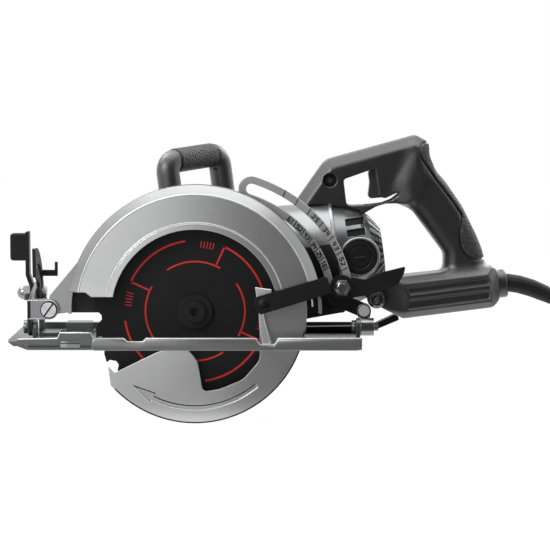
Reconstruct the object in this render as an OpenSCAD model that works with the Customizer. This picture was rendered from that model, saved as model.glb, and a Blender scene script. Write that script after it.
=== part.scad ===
// Worm drive circular saw: blade on the left of the motor, shoe below, handle behind.
// +X points to the rear, +Y from the blade to the motor, +Z up. The sole lies at Z = 0, right under the arbor.

/* [Blade and arbor] */
// Diameter of the blade over its tips
blade_d = 184; // [176:1:186]
// Thickness of the blade
blade_t = 1.8; // [1.4:0.1:2.2]
// Number of teeth
tooth_count = 24; // [18:1:40]
// Depth of a gullet
gullet_depth = 8; // [5:0.5:11]
// Height of the arbor above the sole at full depth
arbor_height = 31; // [30.5:0.5:35]
// Diameter of the arbor where it carries the blade
arbor_d = 15.8; // [14:0.1:17]
// Diameter of the inner blade flange
flange_d = 38; // [30:1:41]
// Thickness of the inner blade flange
flange_t = 7; // [6.6:0.1:7.4]
// Diameter of the outer blade washer
washer_d = 31; // [26:1:44]
// Thickness of the outer blade washer
washer_t = 3.6; // [2.5:0.1:4.2]
// Diameter of the blade bolt's head
bolt_head_d = 19; // [15:0.5:24]
// Height of the blade bolt's head
bolt_head_t = 5; // [3:0.5:6]

/* [Upper guard] */
// Outer radius of the upper guard
guard_r = 113.5; // [110:0.5:115]
// Wall of the upper guard
guard_wall = 3; // [2.5:0.1:3.4]
// Distance from the blade's middle to the guard's near face
guard_near = 16; // [15.5:0.1:16.6]
// Distance from the blade's middle to the guard's far face
guard_far = 10; // [9.8:0.1:10.2]
// Width of the bevel round the guard's rim
rim_bevel = 8.5; // [5:0.5:9]
// Radius of the window that shows the blade
window_r = 74; // [70:0.5:80]
// Width of the raised lip round the window
lip_w = 6; // [3:0.5:10]
// Height of the raised lip
lip_h = 1; // [0.5:0.1:1.2]

/* [Lower guard] */
// Outer radius of the lower guard
lower_r = 100; // [97:0.5:101]
// Wall of the lower guard
lower_wall = 2.2; // [1.8:0.1:2.6]
// Distance from the blade's middle to the lower guard's near face
lower_near = 11; // [10:0.1:11.8]
// Distance from the blade's middle to the lower guard's far face
lower_far = 6.2; // [6:0.1:6.5]
// Length of the lift lever from its boss
lift_l = 61; // [50:1:64]
// Height of the lift lever's bar
lift_h = 16; // [12:0.5:17]

/* [Gears] */
// Normal module of the worm pair
gear_module = 1.95; // [1.9:0.01:2]
// Threads on the worm
worm_starts = 4; // [4:1:4]
// Teeth on the worm wheel
wheel_teeth = 17; // [17:1:17]
// Lead angle of the worm
lead_angle = 25; // [25:1:25]
// Width of the worm wheel
wheel_w = 14; // [10:0.5:16]
// Length of the worm
worm_l = 34; // [26:1:36]

/* [Motor] */
// Distance from the blade's middle to the motor's axis
motor_y = 68.5; // [68:0.5:72]
// Slope of the motor's axis at full depth
motor_tilt = 7.5; // [7.5:0.1:7.5]
// Radius of the motor barrel at its front
barrel_r = 54; // [53:0.5:55]
// Radius of the motor barrel at its rear
barrel_rear_r = 51; // [50:0.5:51.5]
// Wall of the motor barrel
barrel_wall = 4; // [3:0.5:5]
// Where the barrel starts along the motor's axis
barrel_start = 62; // [61:0.5:63]
// Length of the motor barrel
barrel_l = 71; // [70:0.5:72]
// Length of the brush housing behind the barrel
bell_l = 43; // [42:0.5:44]
// Radius of a brush cap
brush_cap_r = 14; // [11:0.5:15]
// Wall of the ring round a brush cap
brush_ring_wall = 2.4; // [2:0.1:3.5]

/* [Rear handle] */
// Length of the rear handle
handle_l = 180; // [178:1:183]
// Height of the rear handle
handle_h = 167; // [165:1:169]
// Width across the grip
grip_w = 34; // [30:1:40]
// Width across the neck over the trigger
neck_w = 32; // [28:1:38]
// Width across the foot
foot_w = 33; // [29:1:39]
// Width across the base
base_w = 50; // [46:1:56]
// Rounding of the grip's edges
grip_edge = 7; // [4:0.5:8]
// Length of the trigger
trigger_l = 22.5; // [21:0.5:23]
// Height of the trigger
trigger_h = 28.4; // [27:0.2:29]
// Width of the trigger
trigger_w = 15; // [12:0.5:18]

/* [Front handle] */
// Thickness of the front handle's bar
bar_d = 21; // [18:0.5:24]
// Length of the front handle between its legs
bar_l = 72; // [68:1:80]
// Height of the front handle above its saddle
bar_h = 76; // [72:1:80]

/* [Depth and bevel] */
// Distance of the front depth pivot ahead of the arbor
pivot_reach = 130.5; // [129:0.5:133]
// Height of the front depth pivot above the arbor
pivot_rise = 1.8; // [1:0.1:3]
// Distance of the depth stud outside the upper guard's rim
stud_clear = 19.9; // [19.5:0.1:21]
// Height of the depth stud above the arbor
stud_rise = 20.7; // [20:0.1:22]
// Distance of the depth bracket's pin behind the arbor
swing_reach = 151.5; // [151:0.1:153]
// Height of the depth bracket's pin above the sole
swing_height = 30.5; // [30.4:0.1:31.5]
// Travel of the depth adjustment in degrees
depth_travel = 27; // [20:1:27]
// Swing of the depth bracket for each degree of travel
swing_ratio = 0.72; // [0.72:0.01:0.72]
// Thickness of the depth bracket
bracket_t = 3; // [2.5:0.1:3.2]
// Width of the depth bracket's slot
slot_w = 14; // [13:0.5:15]
// Width of each arm of the depth bracket
arm_w = 7; // [5:0.5:8]
// Height of the bevel axis above the sole
bevel_z = 16; // [15:0.5:17]
// Distance from the blade's middle to the bevel axis
bevel_y = 8; // [7.5:0.5:8.5]
// Radius of the bevel quadrant's slot
quadrant_r = 58; // [56:0.5:60]

/* [Shoe] */
// Length of the shoe ahead of the front depth pivot
shoe_toe = 32.5; // [30:0.5:35]
// Width of the shoe
shoe_w = 149; // [145:1:155]
// Thickness of the shoe's plate
shoe_t = 3.2; // [2.6:0.1:3.6]
// Height of the shoe's turned up edges
edge_h = 11; // [9:0.5:11.5]
// Distance the shoe reaches behind the arbor
shoe_rear = 148; // [146:0.5:149]
// Distance the shoe reaches to the near side of the blade
shoe_near = 44; // [43:0.5:48]

/* [Cord] */
// Diameter of the mains cord
cord_d = 9.3; // [8:0.1:10]
// Turns in each layer of the coil
coil_turns = 3; // [2:1:4]
// Diameter of the coil at the middle of its turns
coil_d = 110; // [108:1:112]

/* [Hidden] */

$fn = 64;

// Clearances shared by all pieces
cut = 1;
fit = 0.05;
slip = 0.4;
gap = 0.3;
corner_steps = 4;
quarter = 90;
coarse_steps = 2;
arc_steps = 40;

// Arbor
arbor = [0, 0, arbor_height];
blade_face = blade_t / 2;
flange_back = blade_face + flange_t;
bolt_d = 8;
bolt_l = 24;
socket_d = 8;
socket_depth = 3;
shaft_d = 17;
shoulder_d = 20;
seal_t = 3;
front_bearing_d = 35;
front_bearing_w = 11;
rear_bearing_d = 26;
rear_bearing_w = 8;

// Collar that carries the lower guard
collar_r = 27;
collar_wall = 5.5;
ring_wall = 3;
ring_t = 1.2;
spring_wire = 1.8;
spring_turns = 3;
spring_pitch = spring_wire + gap / 2;

// Worm pair
worm_r = gear_module * worm_starts / (2 * sin(lead_angle));
wheel_r = gear_module * wheel_teeth / (2 * cos(lead_angle));
gear_distance = worm_r + wheel_r;
worm_lead = 2 * PI * worm_r * tan(lead_angle);
root_share = 1.1;
thickness_share = 0.4;
normal_flank = 0.364;
wheel_tip_r = wheel_r + gear_module;
worm_tip_r = worm_r + gear_module;

// Gear housing
gear_wall = 3.2;
tube_r = wheel_tip_r + gear_wall + cut;
cover_t = 4;
mount_flange_r = 45;
mount_flange_t = 6;
mount_drop = 24;
tunnel_r = 24;
tube_end = motor_y + tunnel_r + cut;
tunnel_front = 40;
cap_t = 4;
saddle_t = 10;
saddle_w = 26;
saddle_top = 42;

// Armature
armature_d = 12;
core_r = 26;
core_start = 82;
core_l = 44;
commutator_r = 17;
commutator_l = 19;
brush_u = 153;
fan_r = 40;
fan_t = 10;
fan_start = 68;
fan_blades = 9;
fan_blade_t = 2;
ball_d = 32;
ball_w = 10;
tail_d = 26;
tail_w = 9;
mid_bearing_u = 36;

// Motor housing and brush housing
bell_r = 46;
bell_end_r = 24;
bell_start = barrel_start + barrel_l;
bell_end = bell_start + bell_l;
flange_ring_r = 56;
flange_ring_l = 5;
cowl_t = 1.6;
cowl_start = 98;
cowl_l = 34;
cowl_rise = 15;
bell_profile_shares = [[0, 1.06], [0.28, 1], [0.58, 0.9], [0.76, 0.76], [0.93, 0.55], [1, 0.45]];
vent_l = 17;
vent_h = 6;
vent_rows_shares = [0.68, 0.47, -0.68];
brush_side = 6;
brush_h = 9;
brush_l = 14;
holder_r = 9;
cap_depth = 6;
cap_slot = 2;
ring_out = 50;

// Rear handle: neck, grip and foot in shares of its length and height, each corner with a radius share
handle_start = 105;
handle_low = 65;
neck_shares = [
    [0.006, 0.743, 0.010], [0.061, 0.704, 0.010], [0.327, 0.617, 0.020], [0.511, 0.641, 0.040],
    [0.675, 0.856, 0.045], [0.688, 0.946, 0.020], [0.661, 1.006, 0.045], [0.163, 0.929, 0.080]
];
grip_shares = [
    [0.550, 0.614, 0.030], [0.739, 0.228, 0.030], [0.906, 0.228, 0.030], [0.872, 0.425, 0.300],
    [0.789, 0.665, 0.300], [0.675, 0.856, 0.030], [0.528, 0.749, 0.030]
];
foot_shares = [
    [0.250, 0.210, 0.010], [0.250, 0.078, 0.030], [0.460, 0.002, 0.040], [0.912, 0.000, 0.035],
    [0.958, 0.048, 0.035], [0.960, 0.204, 0.030], [0.906, 0.246, 0.040], [0.406, 0.228, 0.020]
];
trigger_hole_shares = [
    [0.245, 0.810, 0.028], [0.395, 0.846, 0.020], [0.395, 0.678, 0.020], [0.345, 0.652, 0.020],
    [0.248, 0.666, 0.028]
];
base_shares = [
    [0.285, 0.190, 0.020], [0.345, 0.055, 0.030], [0.460, 0.002, 0.030], [0.908, 0.002, 0.030],
    [0.952, 0.050, 0.030], [0.952, 0.185, 0.040], [0.918, 0.225, 0.030], [0.480, 0.222, 0.020]
];
base_edge = 9;
spigot_r = 13;
spigot_l = 9;
spigot_share = 0.118;
panel_deep = 2.5;
panel_shares = [
    [[0.475, 0.184], [0.916, 0.178], [0.918, 0.131], [0.497, 0.132]],
    [[0.492, 0.110], [0.916, 0.106], [0.908, 0.047], [0.464, 0.048]]
];
edge_share = 0.7;
hand_stop = 3;
switch_shares = [0.525, 0.70];
switch_l = 22;
switch_h = 16;
switch_w = 16;
trigger_shares = [
    [-0.680, 0.265, 0.16], [0.200, 0.353, 0.08], [0.200, -0.459, 0.16], [-0.120, -0.647, 0.32],
    [-0.744, -0.629, 0.16], [-0.800, -0.529, 0.08], [-0.664, -0.088, 0.64]
];
trigger_pin_shares = [0.455, 0.79];
pin_d = 4;
slot_shares = [[0.330, 0.640], [0.520, 0.875]];
pad_shares = [
    [0.832, 0.252, 0.010], [0.866, 0.270, 0.010], [0.834, 0.420, 0.150], [0.748, 0.665, 0.200],
    [0.700, 0.785, 0.012], [0.682, 0.760, 0.012], [0.728, 0.630, 0.100], [0.785, 0.430, 0.100]
];
pad_t = 1.2;
screw_shares = [[0.166, 0.822, -1], [0.335, 0.142, -1], [0.62, 0.115, 1], [0.92, 0.115, 1], [0.735, 0.48, 1]];
screw_head_d = 12;
screw_d = 5;
screw_sink = 4;

// Front handle
bar_skew = 46;
leg_u = -9;
leg_y = 28;

// Upper guard openings and ear
front_step = 4;
guard_end_z = 14;
guard_rear_z = 20;
tail_z = 2;
step_in_shares = [0.855, 0.81];
hub_land_r = 50;
spring_room_r = 34;
ear_t = 7;
ear_boss_r = 8.2;
ear_drop = 5.3;
gusset_top = 43;
gusset_front = 12;
screw_circle_r = 40;
guard_screw_d = 5;
guard_screw_head_d = 8.5;
guard_screw_angles = [25, 90, 155];

// Lower guard: near wall in shares of its radius, with corner radius shares
nose_angle = 221;
lower_end_angle = 369;
arrow_r = 86;
arrow_w = 3;
arrow_deep = 0.6;
arrow_barb = 4.5;
arrow_angles = [310, 244, 230];
lower_inner_shares = [
    [0.760, 0.160, 0.040], [0.575, 0.160, 0.040], [0.580, -0.430, 0.120], [0.430, -0.605, 0.200],
    [0.220, -0.692, 0.200], [0.070, -0.715, 0.040], [0.020, -0.430, 0.180], [-0.100, -0.300, 0.120],
    [-0.330, -0.355, 0.300], [-0.720, -0.545, 0.020], [-0.775, -0.490, 0.015]
];
lift_boss_shares = [0.614, 0.08];
lift_boss_r = 5.5;
lift_gap = 1;
lift_t = 3.5;
lift_slope = 17;
rivet_r = 5.5;
rivet_h = 2.5;

// Depth bracket, stud and lever
bracket_near = guard_far + 0.6;
bracket_far = bracket_near + bracket_t;
stud_reach = sqrt(pow(guard_r + stud_clear, 2) - pow(stud_rise, 2));
stud = [stud_reach, arbor_height + stud_rise];
pivot = [-pivot_reach, arbor_height + pivot_rise];
swing_pin = [swing_reach, swing_height];
eye_r = 6.5;
slot_steps = 22;
slot_end_margin = 3;
stud_d = 10;
stud_collar_d = 12;
stud_boss_r = 9;
depth_lever_l = 57;
depth_lever_t = 4.8;
depth_hub_r = 11;
depth_lever_shares = [
    [0.14, 0.16, 0.02], [0.36, 0.12, 0.10], [0.60, 0.23, 0.10], [1.00, 0.33, 0.02], [0.97, 0.21, 0.03],
    [0.88, 0.05, 0.10], [0.66, -0.05, 0.20], [0.45, -0.11, 0.20], [0.14, -0.17, 0.02]
];
depth_nut_h = 7;
depth_nut_r = 8;

// Front bracket, rear hinge and bevel pieces
plate_ahead = 19.5;
plate_front = pivot_reach + plate_ahead;
plate_t = 3.8;
cheek_t = 4;
cheek_gap = 1.2;
cheek_r = 8.3;
hinge_r = 8;
hinge_bolt_d = 7;
hinge_head_d = 12;
hinge_head_t = 4;
pivot_d = 8;
pivot_head_d = 13.5;
pivot_head_t = 3;
bevel_arm_r = 10;
bevel_rest = 27;
bevel_travel = 53;
bevel_bolt_d = 8;
quadrant_t = 3;
quadrant_w = 26;
quadrant_from = -8;
quadrant_to = 96;
quadrant_foot = 16;
tab_t = 3.5;
rear_tab_t = 3.5;
rear_barrel_l = 12;
fork_t = 3.5;
fork_gap = 0.4;
bevel_lever_t = 3.4;
bevel_lever_w = 14;
bevel_lever_l = 44;
bevel_pad_l = 14;
bevel_pad_h = 25;
bevel_pad_t = 6;
acorn_r = 7;
acorn_l = 6;
stop_angle = 60;
stop_l = 14;
stop_w = 4;
stop_h = 11;

// Shoe
shoe_front = pivot_reach + shoe_toe;
shoe_l = shoe_front + shoe_rear;
shoe_far = shoe_w - shoe_near;
nose_l = 17;
nose_h = 6.5;
edge_r = 5;
blade_slot = lower_r;
slot_near = 28;
slot_far = 42;
notch_shares = [[-0.61, -0.42], [0.56, 0.73]];
notch_depth = 6;
raised_shares = [-1.17, -0.90];
raised_h = 5;
fence_slot_shares = [-1.17, -1.0];
fence_slot_h = 5.2;
guide_l = 18;
guide_h = 13;
guide_y = 48;
wrench_w = 16;
wrench_t = 4;
wrench_l = 86;
wrench_tail = 24;
wrench_bend = 25;
wrench_y = 80;
wrench_x = 100;
wrench_hex = 17;
wrench_head_r = 12;

// Cord boot, lead, coil and plug; the floor is the lowest point of the lower guard
floor_z = arbor_height - lower_r;
boot_r = 8.3;
boot_turn = 40;
boot_taper = 6;
boot_tip_r = cord_d / 2 + 1.2;
boot_ribs = 5;
coil_gap = 1.7;
coil_centre = [430, -3];
coil_start = 90;
coil_rings = 24;
cord_sides = 8;
coil_sides = 6;
coil_step = cord_d + coil_gap;
coil_in_r = coil_d / 2 - coil_step * coil_turns / 2;
coil_out_r = coil_in_r + coil_step * coil_turns;
coil_low = floor_z + cord_d / 2;
boot_route = [[275, 68.5, 51], [287, 68.5, 51], [297, 68.5, 49.5], [309, 68.5, 46], [321, 68.5, 41], [332, 68.5, 35]];
lead_start = [333, 68.5, 34.4];
lead_way = [0.878, 0, -0.479];
lead_pulls = [50, 71];
lead_steps = 14;
lead_gap = 0.2;
tie_angle = 135;
tie_w = 12;
tie_t = 1.2;
tail_l = 40;
plug_l = 42;
plug_r = 13;
plug_blade_l = 18;
plug_blade_w = 6.4;
plug_blade_t = 1.6;
plug_blade_gap = 12.7;

/* Shape helpers */

function unit(v) = v / norm(v);
function clamped(x) = min(1, max(-1, x));
function turn(p, a) = [p[0] * cos(a) - p[1] * sin(a), p[0] * sin(a) + p[1] * cos(a)];
function arc(c, r, a0, a1, n) = [for (i = [0 : n]) let (a = a0 + (a1 - a0) * i / n) c + r * [cos(a), sin(a)]];
function scaled(shares, sx, sy, sr) = [for (p = shares) [p[0] * sx, p[1] * sy, p[2] * sr]];
function moved(points, d) = [for (p = points) [p[0] + d[0], p[1] + d[1], p[2]]];
function short_turn(a) = a > 180 ? a - 360 : a < -180 ? a + 360 : a;

// Points of a corner with a radius between its two neighbours
function corner(a, p, b, r, n = corner_steps) = let (
    u = unit(a - p),
    v = unit(b - p),
    half = acos(clamped(u * v)) / 2,
    c = p + unit(u + v) * r / sin(half),
    s = p + u * r / tan(half) - c,
    e = p + v * r / tan(half) - c,
    a0 = atan2(s[1], s[0]),
    sweep = short_turn(atan2(e[1], e[0]) - a0)
) [for (i = [0 : n]) c + r * [cos(a0 + sweep * i / n), sin(a0 + sweep * i / n)]];

// Closed outline with rounded corners from points that each hold a radius
function rounded(points, steps = corner_steps) = let (n = len(points)) [
    for (i = [0 : n - 1]) let (
        p = points[i],
        a = points[(i + n - 1) % n],
        b = points[(i + 1) % n]
    ) each corner([a[0], a[1]], [p[0], p[1]], [b[0], b[1]], p[2], steps)
];

// Corner points moved inwards by a distance, radii kept in step; the corners run counterclockwise
function left_of(d) = unit([-d[1], d[0]]);
function flat(p) = [p[0], p[1]];
function inset(points, d) = let (n = len(points)) [
    for (i = [0 : n - 1]) let (
        p = points[i],
        m = left_of(flat(p - points[(i + n - 1) % n])),
        k = left_of(flat(points[(i + 1) % n] - p)),
        q = flat(p) + (m + k) * d / (1 + m * k),
        outward = m[0] * k[1] - m[1] * k[0] > 0
    ) [q[0], q[1], outward ? max(p[2] - d, cut / 2) : p[2] + d]
];
function reversed(points) = [for (i = [len(points) - 1 : -1 : 0]) points[i]];

// Solid through a stack of rings with as many points each
module loft(rings) {
    n = len(rings[0]);
    m = len(rings);
    sides = [
        for (j = [0 : m - 2], i = [0 : n - 1]) let (a = j * n + i, b = j * n + (i + 1) % n)
            each [[a, a + n, b + n], [a, b + n, b]]
    ];
    bottom = [for (i = [0 : n - 1]) i];
    top = [for (i = [n - 1 : -1 : 0]) (m - 1) * n + i];
    polyhedron([for (r = rings) each r], concat([bottom], sides, [top]), convexity = 8);
}

// Slab whose edges step in at the given levels, each a height and an inset
module bevelled(points, levels) {
    loft([for (l = levels) [for (p = rounded(inset(points, l[1]), coarse_steps)) [p[0], p[1], l[0]]]]);
}

// Tube along a path, with a radius at each point
function tangents(path) = let (n = len(path)) [
    for (i = [0 : n - 1]) unit(path[min(i + 1, n - 1)] - path[max(i - 1, 0)])
];
function normals(t, i, m) = i == len(t) ? [] : let (k = unit(m - t[i] * (m * t[i]))) concat([k], normals(t, i + 1, k));
module tube(path, radii, sides, start_normal) {
    t = tangents(path);
    m = normals(t, 0, start_normal);
    loft([
        for (i = [0 : len(path) - 1]) [
            for (k = [0 : sides - 1]) let (a = 360 * k / sides)
                path[i] + radii[i] * (cos(a) * m[i] + sin(a) * cross(t[i], m[i]))
        ]
    ]);
}

// Flat plates: one drawn in X and Z, one drawn in Y and Z
module plate_y(y0, y1) {
    translate([0, y1, 0]) rotate([90, 0, 0]) linear_extrude(y1 - y0) children();
}
module plate_x(x0, x1) {
    translate([x0, 0, 0]) rotate([90, 0, 90]) linear_extrude(x1 - x0) children();
}

// Round bars along each axis
module bar_y(r, y0, y1, x = 0, z = 0) {
    translate([x, y0, z]) rotate([-90, 0, 0]) cylinder(r = r, h = y1 - y0);
}
module bar_x(r, x0, x1, y = 0, z = 0) {
    translate([x0, y, z]) rotate([0, 90, 0]) cylinder(r = r, h = x1 - x0);
}
module ring_y(r, bore, y0, y1, x = 0, z = 0) {
    difference() {
        bar_y(r, y0, y1, x, z);
        bar_y(bore, y0 - cut, y1 + cut, x, z);
    }
}
module ring_x(r, bore, x0, x1) {
    difference() {
        bar_x(r, x0, x1);
        bar_x(bore, x0 - cut, x1 + cut);
    }
}
// Body turned about the X axis from points of place and radius
module turned_x(points) {
    rotate([0, 90, 0]) rotate_extrude() polygon([for (p = points) [p[1], p[0]]]);
}
// Body turned about the Y axis from points of radius and place
module turned_y(points) {
    rotate([-90, 0, 0]) rotate_extrude() polygon(points);
}
// Box between two corners
module box(a, b) {
    translate(a) cube(b - a);
}

// Frames: the arbor, and the motor's tilted axis
module at_arbor() {
    translate(arbor) children();
}
module at_motor() {
    at_arbor() rotate([0, -motor_tilt, 0]) translate([0, motor_y, gear_distance]) children();
}

/* Arbor and blade */

function tooth(i) = let (
    a = 360 * i / tooth_count,
    r = blade_d / 2,
    step = 360 / tooth_count,
    low = r - gullet_depth
) [
    r * [cos(a), sin(a)],
    (r - blade_t) * [cos(a - step / 3), sin(a - step / 3)],
    (r - gullet_depth / 2) * [cos(a - step / 2), sin(a - step / 2)],
    low * [cos(a - step * 2 / 3), sin(a - step * 2 / 3)],
    low * [cos(a - step * 5 / 6), sin(a - step * 5 / 6)],
    (r - gullet_depth / 2) * [cos(a - step), sin(a - step)]
];

module blade() {
    color("#1c1c1e") at_arbor() plate_y(-blade_face, blade_face) difference() {
        polygon([for (i = [tooth_count - 1 : -1 : 0]) each tooth(i)]);
        circle(d = arbor_d + 2 * fit);
    }
}

module inner_flange() {
    color("#3a3a3c") at_arbor() ring_y(flange_d / 2, arbor_d / 2 + fit, blade_face, flange_back);
}

module blade_washer() {
    color("#2a2a2c") at_arbor() difference() {
        bar_y(washer_d / 2, -blade_face - washer_t, -blade_face);
        bar_y(bolt_d / 2 + fit, -blade_face - washer_t - cut, cut);
    }
}

module blade_bolt() {
    head = -blade_face - washer_t;
    color("#1a1a1c") at_arbor() difference() {
        union() {
            bar_y(bolt_head_d / 2, head - bolt_head_t, head);
            bar_y(bolt_d / 2, head, head + bolt_l);
        }
        translate([0, head - bolt_head_t - cut, 0]) rotate([-90, 0, 0])
            cylinder(d = socket_d, h = socket_depth + cut, $fn = 6);
    }
}

module arbor_shaft() {
    back = motor_y + wheel_w / 2;
    color("#8c8c90") at_arbor() difference() {
        union() {
            bar_y(arbor_d / 2, -blade_face, flange_back);
            bar_y(shoulder_d / 2, flange_back, guard_far + seal_t);
            bar_y(shaft_d / 2, guard_far + seal_t, back);
            bar_y(armature_d / 2, back, back + rear_bearing_w + cut);
        }
        bar_y(bolt_d / 2 + fit, -blade_face - cut, bolt_l);
    }
}

module arbor_seal() {
    color("#202020") at_arbor()
        ring_y(front_bearing_d / 2 - fit, shoulder_d / 2 + fit, guard_far, guard_far + seal_t);
}

module arbor_bearings() {
    front = guard_far + seal_t;
    back = motor_y + wheel_w / 2 + cut;
    color("#b8b8bc") at_arbor() {
        ring_y(front_bearing_d / 2 - fit, shaft_d / 2 + fit, front, front + front_bearing_w);
        ring_y(rear_bearing_d / 2 - fit, armature_d / 2 + fit, back, back + rear_bearing_w);
    }
}

// Gear outline with straight flanks: half thickness at a radius follows the flank's slope
function flank_angle(r, pitch_r, count, slope) =
    (PI * pitch_r * thickness_share / count + (pitch_r - r) * slope) / r * 180 / PI;
function gear_outline(count, pitch_r, slope) = [
    for (i = [0 : count - 1]) let (
        a = 360 * i / count,
        root = pitch_r - gear_module * root_share,
        tip = pitch_r + gear_module
    ) each [
        for (k = [[root, -1], [pitch_r, -1], [tip, -1], [tip, 1], [pitch_r, 1], [root, 1]])
            let (b = a + k[1] * flank_angle(k[0], pitch_r, count, slope)) k[0] * [cos(b), sin(b)]
    ]
];

module worm_wheel() {
    twist = -wheel_w * tan(lead_angle) / wheel_r * 180 / PI;
    color("#a8842c") at_arbor() translate([0, motor_y, 0]) rotate([0, -motor_tilt, 0]) difference() {
        rotate([-90, 0, 0]) rotate([0, 0, twist / 2 - 90])
            linear_extrude(wheel_w, center = true, twist = twist, slices = 6)
                polygon(gear_outline(wheel_teeth, wheel_r, normal_flank / cos(lead_angle)));
        bar_y(shaft_d / 2 + fit, -wheel_w, wheel_w);
    }
}

module worm() {
    twist = -360 * worm_l / worm_lead;
    half_space = 180 / worm_starts;
    color("#9a9aa0") at_motor() difference() {
        rotate([0, 90, 0]) rotate([0, 0, twist / 2 + half_space])
            linear_extrude(worm_l, center = true, twist = twist, slices = 36)
                polygon(gear_outline(worm_starts, worm_r, normal_flank / sin(lead_angle)));
        bar_x(armature_d / 2 - cut, -worm_l, worm_l);
    }
}

/* Motor */

module armature_shaft() {
    color("#a0a0a6") at_motor() {
        bar_x(armature_d / 2 - cut - fit, -worm_l / 2 - ball_w - slip, worm_l / 2);
        bar_x(armature_d / 2, worm_l / 2, bell_end - cut);
    }
}

module armature_core() {
    color("#5a5a5e") at_motor() difference() {
        ring_x(core_r, armature_d / 2 + fit, core_start, core_start + core_l);
        for (i = [0 : fan_blades - 1]) rotate([i * 360 / fan_blades, 0, 0])
            box([core_start - cut, -fan_blade_t / 2, core_r - fan_blade_t],
                [core_start + core_l + cut, fan_blade_t / 2, core_r + cut]);
    }
}

module commutator() {
    color("#b87333") at_motor()
        ring_x(commutator_r, armature_d / 2 + fit, brush_u - commutator_l / 2, brush_u + commutator_l / 2);
}

module fan() {
    hub = armature_d / 2 + fan_blade_t;
    color("#303032") at_motor() {
        ring_x(hub, armature_d / 2 + fit, fan_start, fan_start + fan_t);
        ring_x(fan_r, hub, fan_start, fan_start + fan_blade_t);
        for (i = [0 : fan_blades - 1]) rotate([i * 360 / fan_blades, 0, 0])
            box([fan_start + fan_blade_t, -fan_blade_t / 2, hub - fan_blade_t / 2],
                [fan_start + fan_t, fan_blade_t / 2, fan_r - fan_blade_t]);
    }
}

module armature_bearings() {
    front = -worm_l / 2 - slip;
    color("#b8b8bc") at_motor() {
        ring_x(ball_d / 2 - fit, armature_d / 2 - cut, front - ball_w, front);
        ring_x(ball_d / 2 - fit, armature_d / 2 + fit, mid_bearing_u, mid_bearing_u + ball_w);
        ring_x(tail_d / 2 - fit, armature_d / 2 + fit, bell_end - tail_w - cut, bell_end - cut);
    }
}

module field_core() {
    color("#6c6c70") at_motor()
        ring_x(barrel_rear_r - barrel_wall - fit, core_r + cut, core_start, core_start + core_l);
}

module field_windings() {
    out = barrel_rear_r - barrel_wall - cut;
    color("#9c5a24") at_motor() for (u = [core_start + core_l, core_start - fan_blade_t])
        ring_x(out, core_r + fan_blade_t, u, u + fan_blade_t);
}

module brush_holders() {
    color("#3c3c3e") at_motor() for (side = [0, 180]) rotate([side, 0, 0]) difference() {
        bar_y(holder_r - fit, -ring_out + cap_depth, -commutator_r - cut, brush_u);
        box([brush_u - brush_side / 2 - fit, -ring_out, -brush_h / 2 - fit],
            [brush_u + brush_side / 2 + fit, 0, brush_h / 2 + fit]);
    }
}

module carbon_brushes() {
    color("#262626") at_motor() for (side = [0, 180]) rotate([side, 0, 0])
        box([brush_u - brush_side / 2, -commutator_r - fit - brush_l, -brush_h / 2],
            [brush_u + brush_side / 2, -commutator_r - fit, brush_h / 2]);
}

module brush_springs() {
    color("#c0c0c4") at_motor() for (side = [0, 180]) rotate([side, 0, 0])
        ring_y(brush_side / 2 - fit, brush_side / 3, -ring_out + cap_depth, -commutator_r - fit - brush_l, brush_u);
}

module brush_caps() {
    color("#1b1b1c") at_motor() for (side = [0, 180]) rotate([side, 0, 0]) difference() {
        bar_y(brush_cap_r - fit, -ring_out - cut, -ring_out + cap_depth, brush_u);
        box([brush_u - brush_cap_r, -ring_out - 2 * cut, -cap_slot / 2],
            [brush_u + brush_cap_r, -ring_out + cap_slot / 2, cap_slot / 2]);
    }
}

// Outer form of the barrel with its front flange
barrel_form = [
    [barrel_start, 0], [barrel_start, flange_ring_r], [barrel_start + flange_ring_l, flange_ring_r],
    [barrel_start + flange_ring_l, barrel_r], [bell_start - flange_ring_l, barrel_rear_r],
    [bell_start, barrel_rear_r], [bell_start, 0]
];
bell_form = concat(
    [[bell_start, 0]],
    [for (p = bell_profile_shares) [bell_start + p[0] * bell_l, p[1] * bell_r]],
    [[bell_end, 0]]
);

module stud_boss(r, y1) {
    bar_y(r, bracket_far + slip, y1, stud[0], stud[1]);
}

module motor_housing() {
    bore = barrel_rear_r - barrel_wall;
    color("#b9bbbd") difference() {
        union() {
            at_motor() turned_x(barrel_form);
            difference() {
                stud_boss(stud_boss_r, motor_y - bore / 2);
                at_motor() turned_x(grown(bell_form, slip));
            }
        }
        at_motor() bar_x(bore, barrel_start - cut, bell_start + cut);
        bar_y(stud_d / 2 + fit, bracket_far, motor_y, stud[0], stud[1]);
    }
}

module brush_housing() {
    bore = bell_r - barrel_wall;
    color("#b4b6b8") at_motor() difference() {
        union() {
            turned_x(bell_form);
            for (side = [0, 180]) rotate([side, 0, 0]) bar_y(brush_cap_r + brush_ring_wall, -ring_out, 0, brush_u);
        }
        bar_x(bore / 2 + brush_h, bell_start - cut, bell_end - tail_w - 2 * cut);
        bar_x(bore, bell_start - cut, bell_start + flange_ring_l);
        bar_x(tail_d / 2, bell_start, bell_end - cut);
        for (side = [0, 180]) rotate([side, 0, 0]) {
            bar_y(brush_cap_r, -ring_out - cut, -ring_out + cap_depth, brush_u);
            bar_y(holder_r, -ring_out, 0, brush_u);
        }
        for (row = vent_rows_shares, side = [-1, 1])
            box([brush_u - vent_l / 2, side > 0 ? 0 : -bell_r - cut, row * bell_r - vent_h / 2],
                [brush_u + vent_l / 2, side > 0 ? bell_r + cut : 0, row * bell_r + vent_h / 2]);
    }
}

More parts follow.
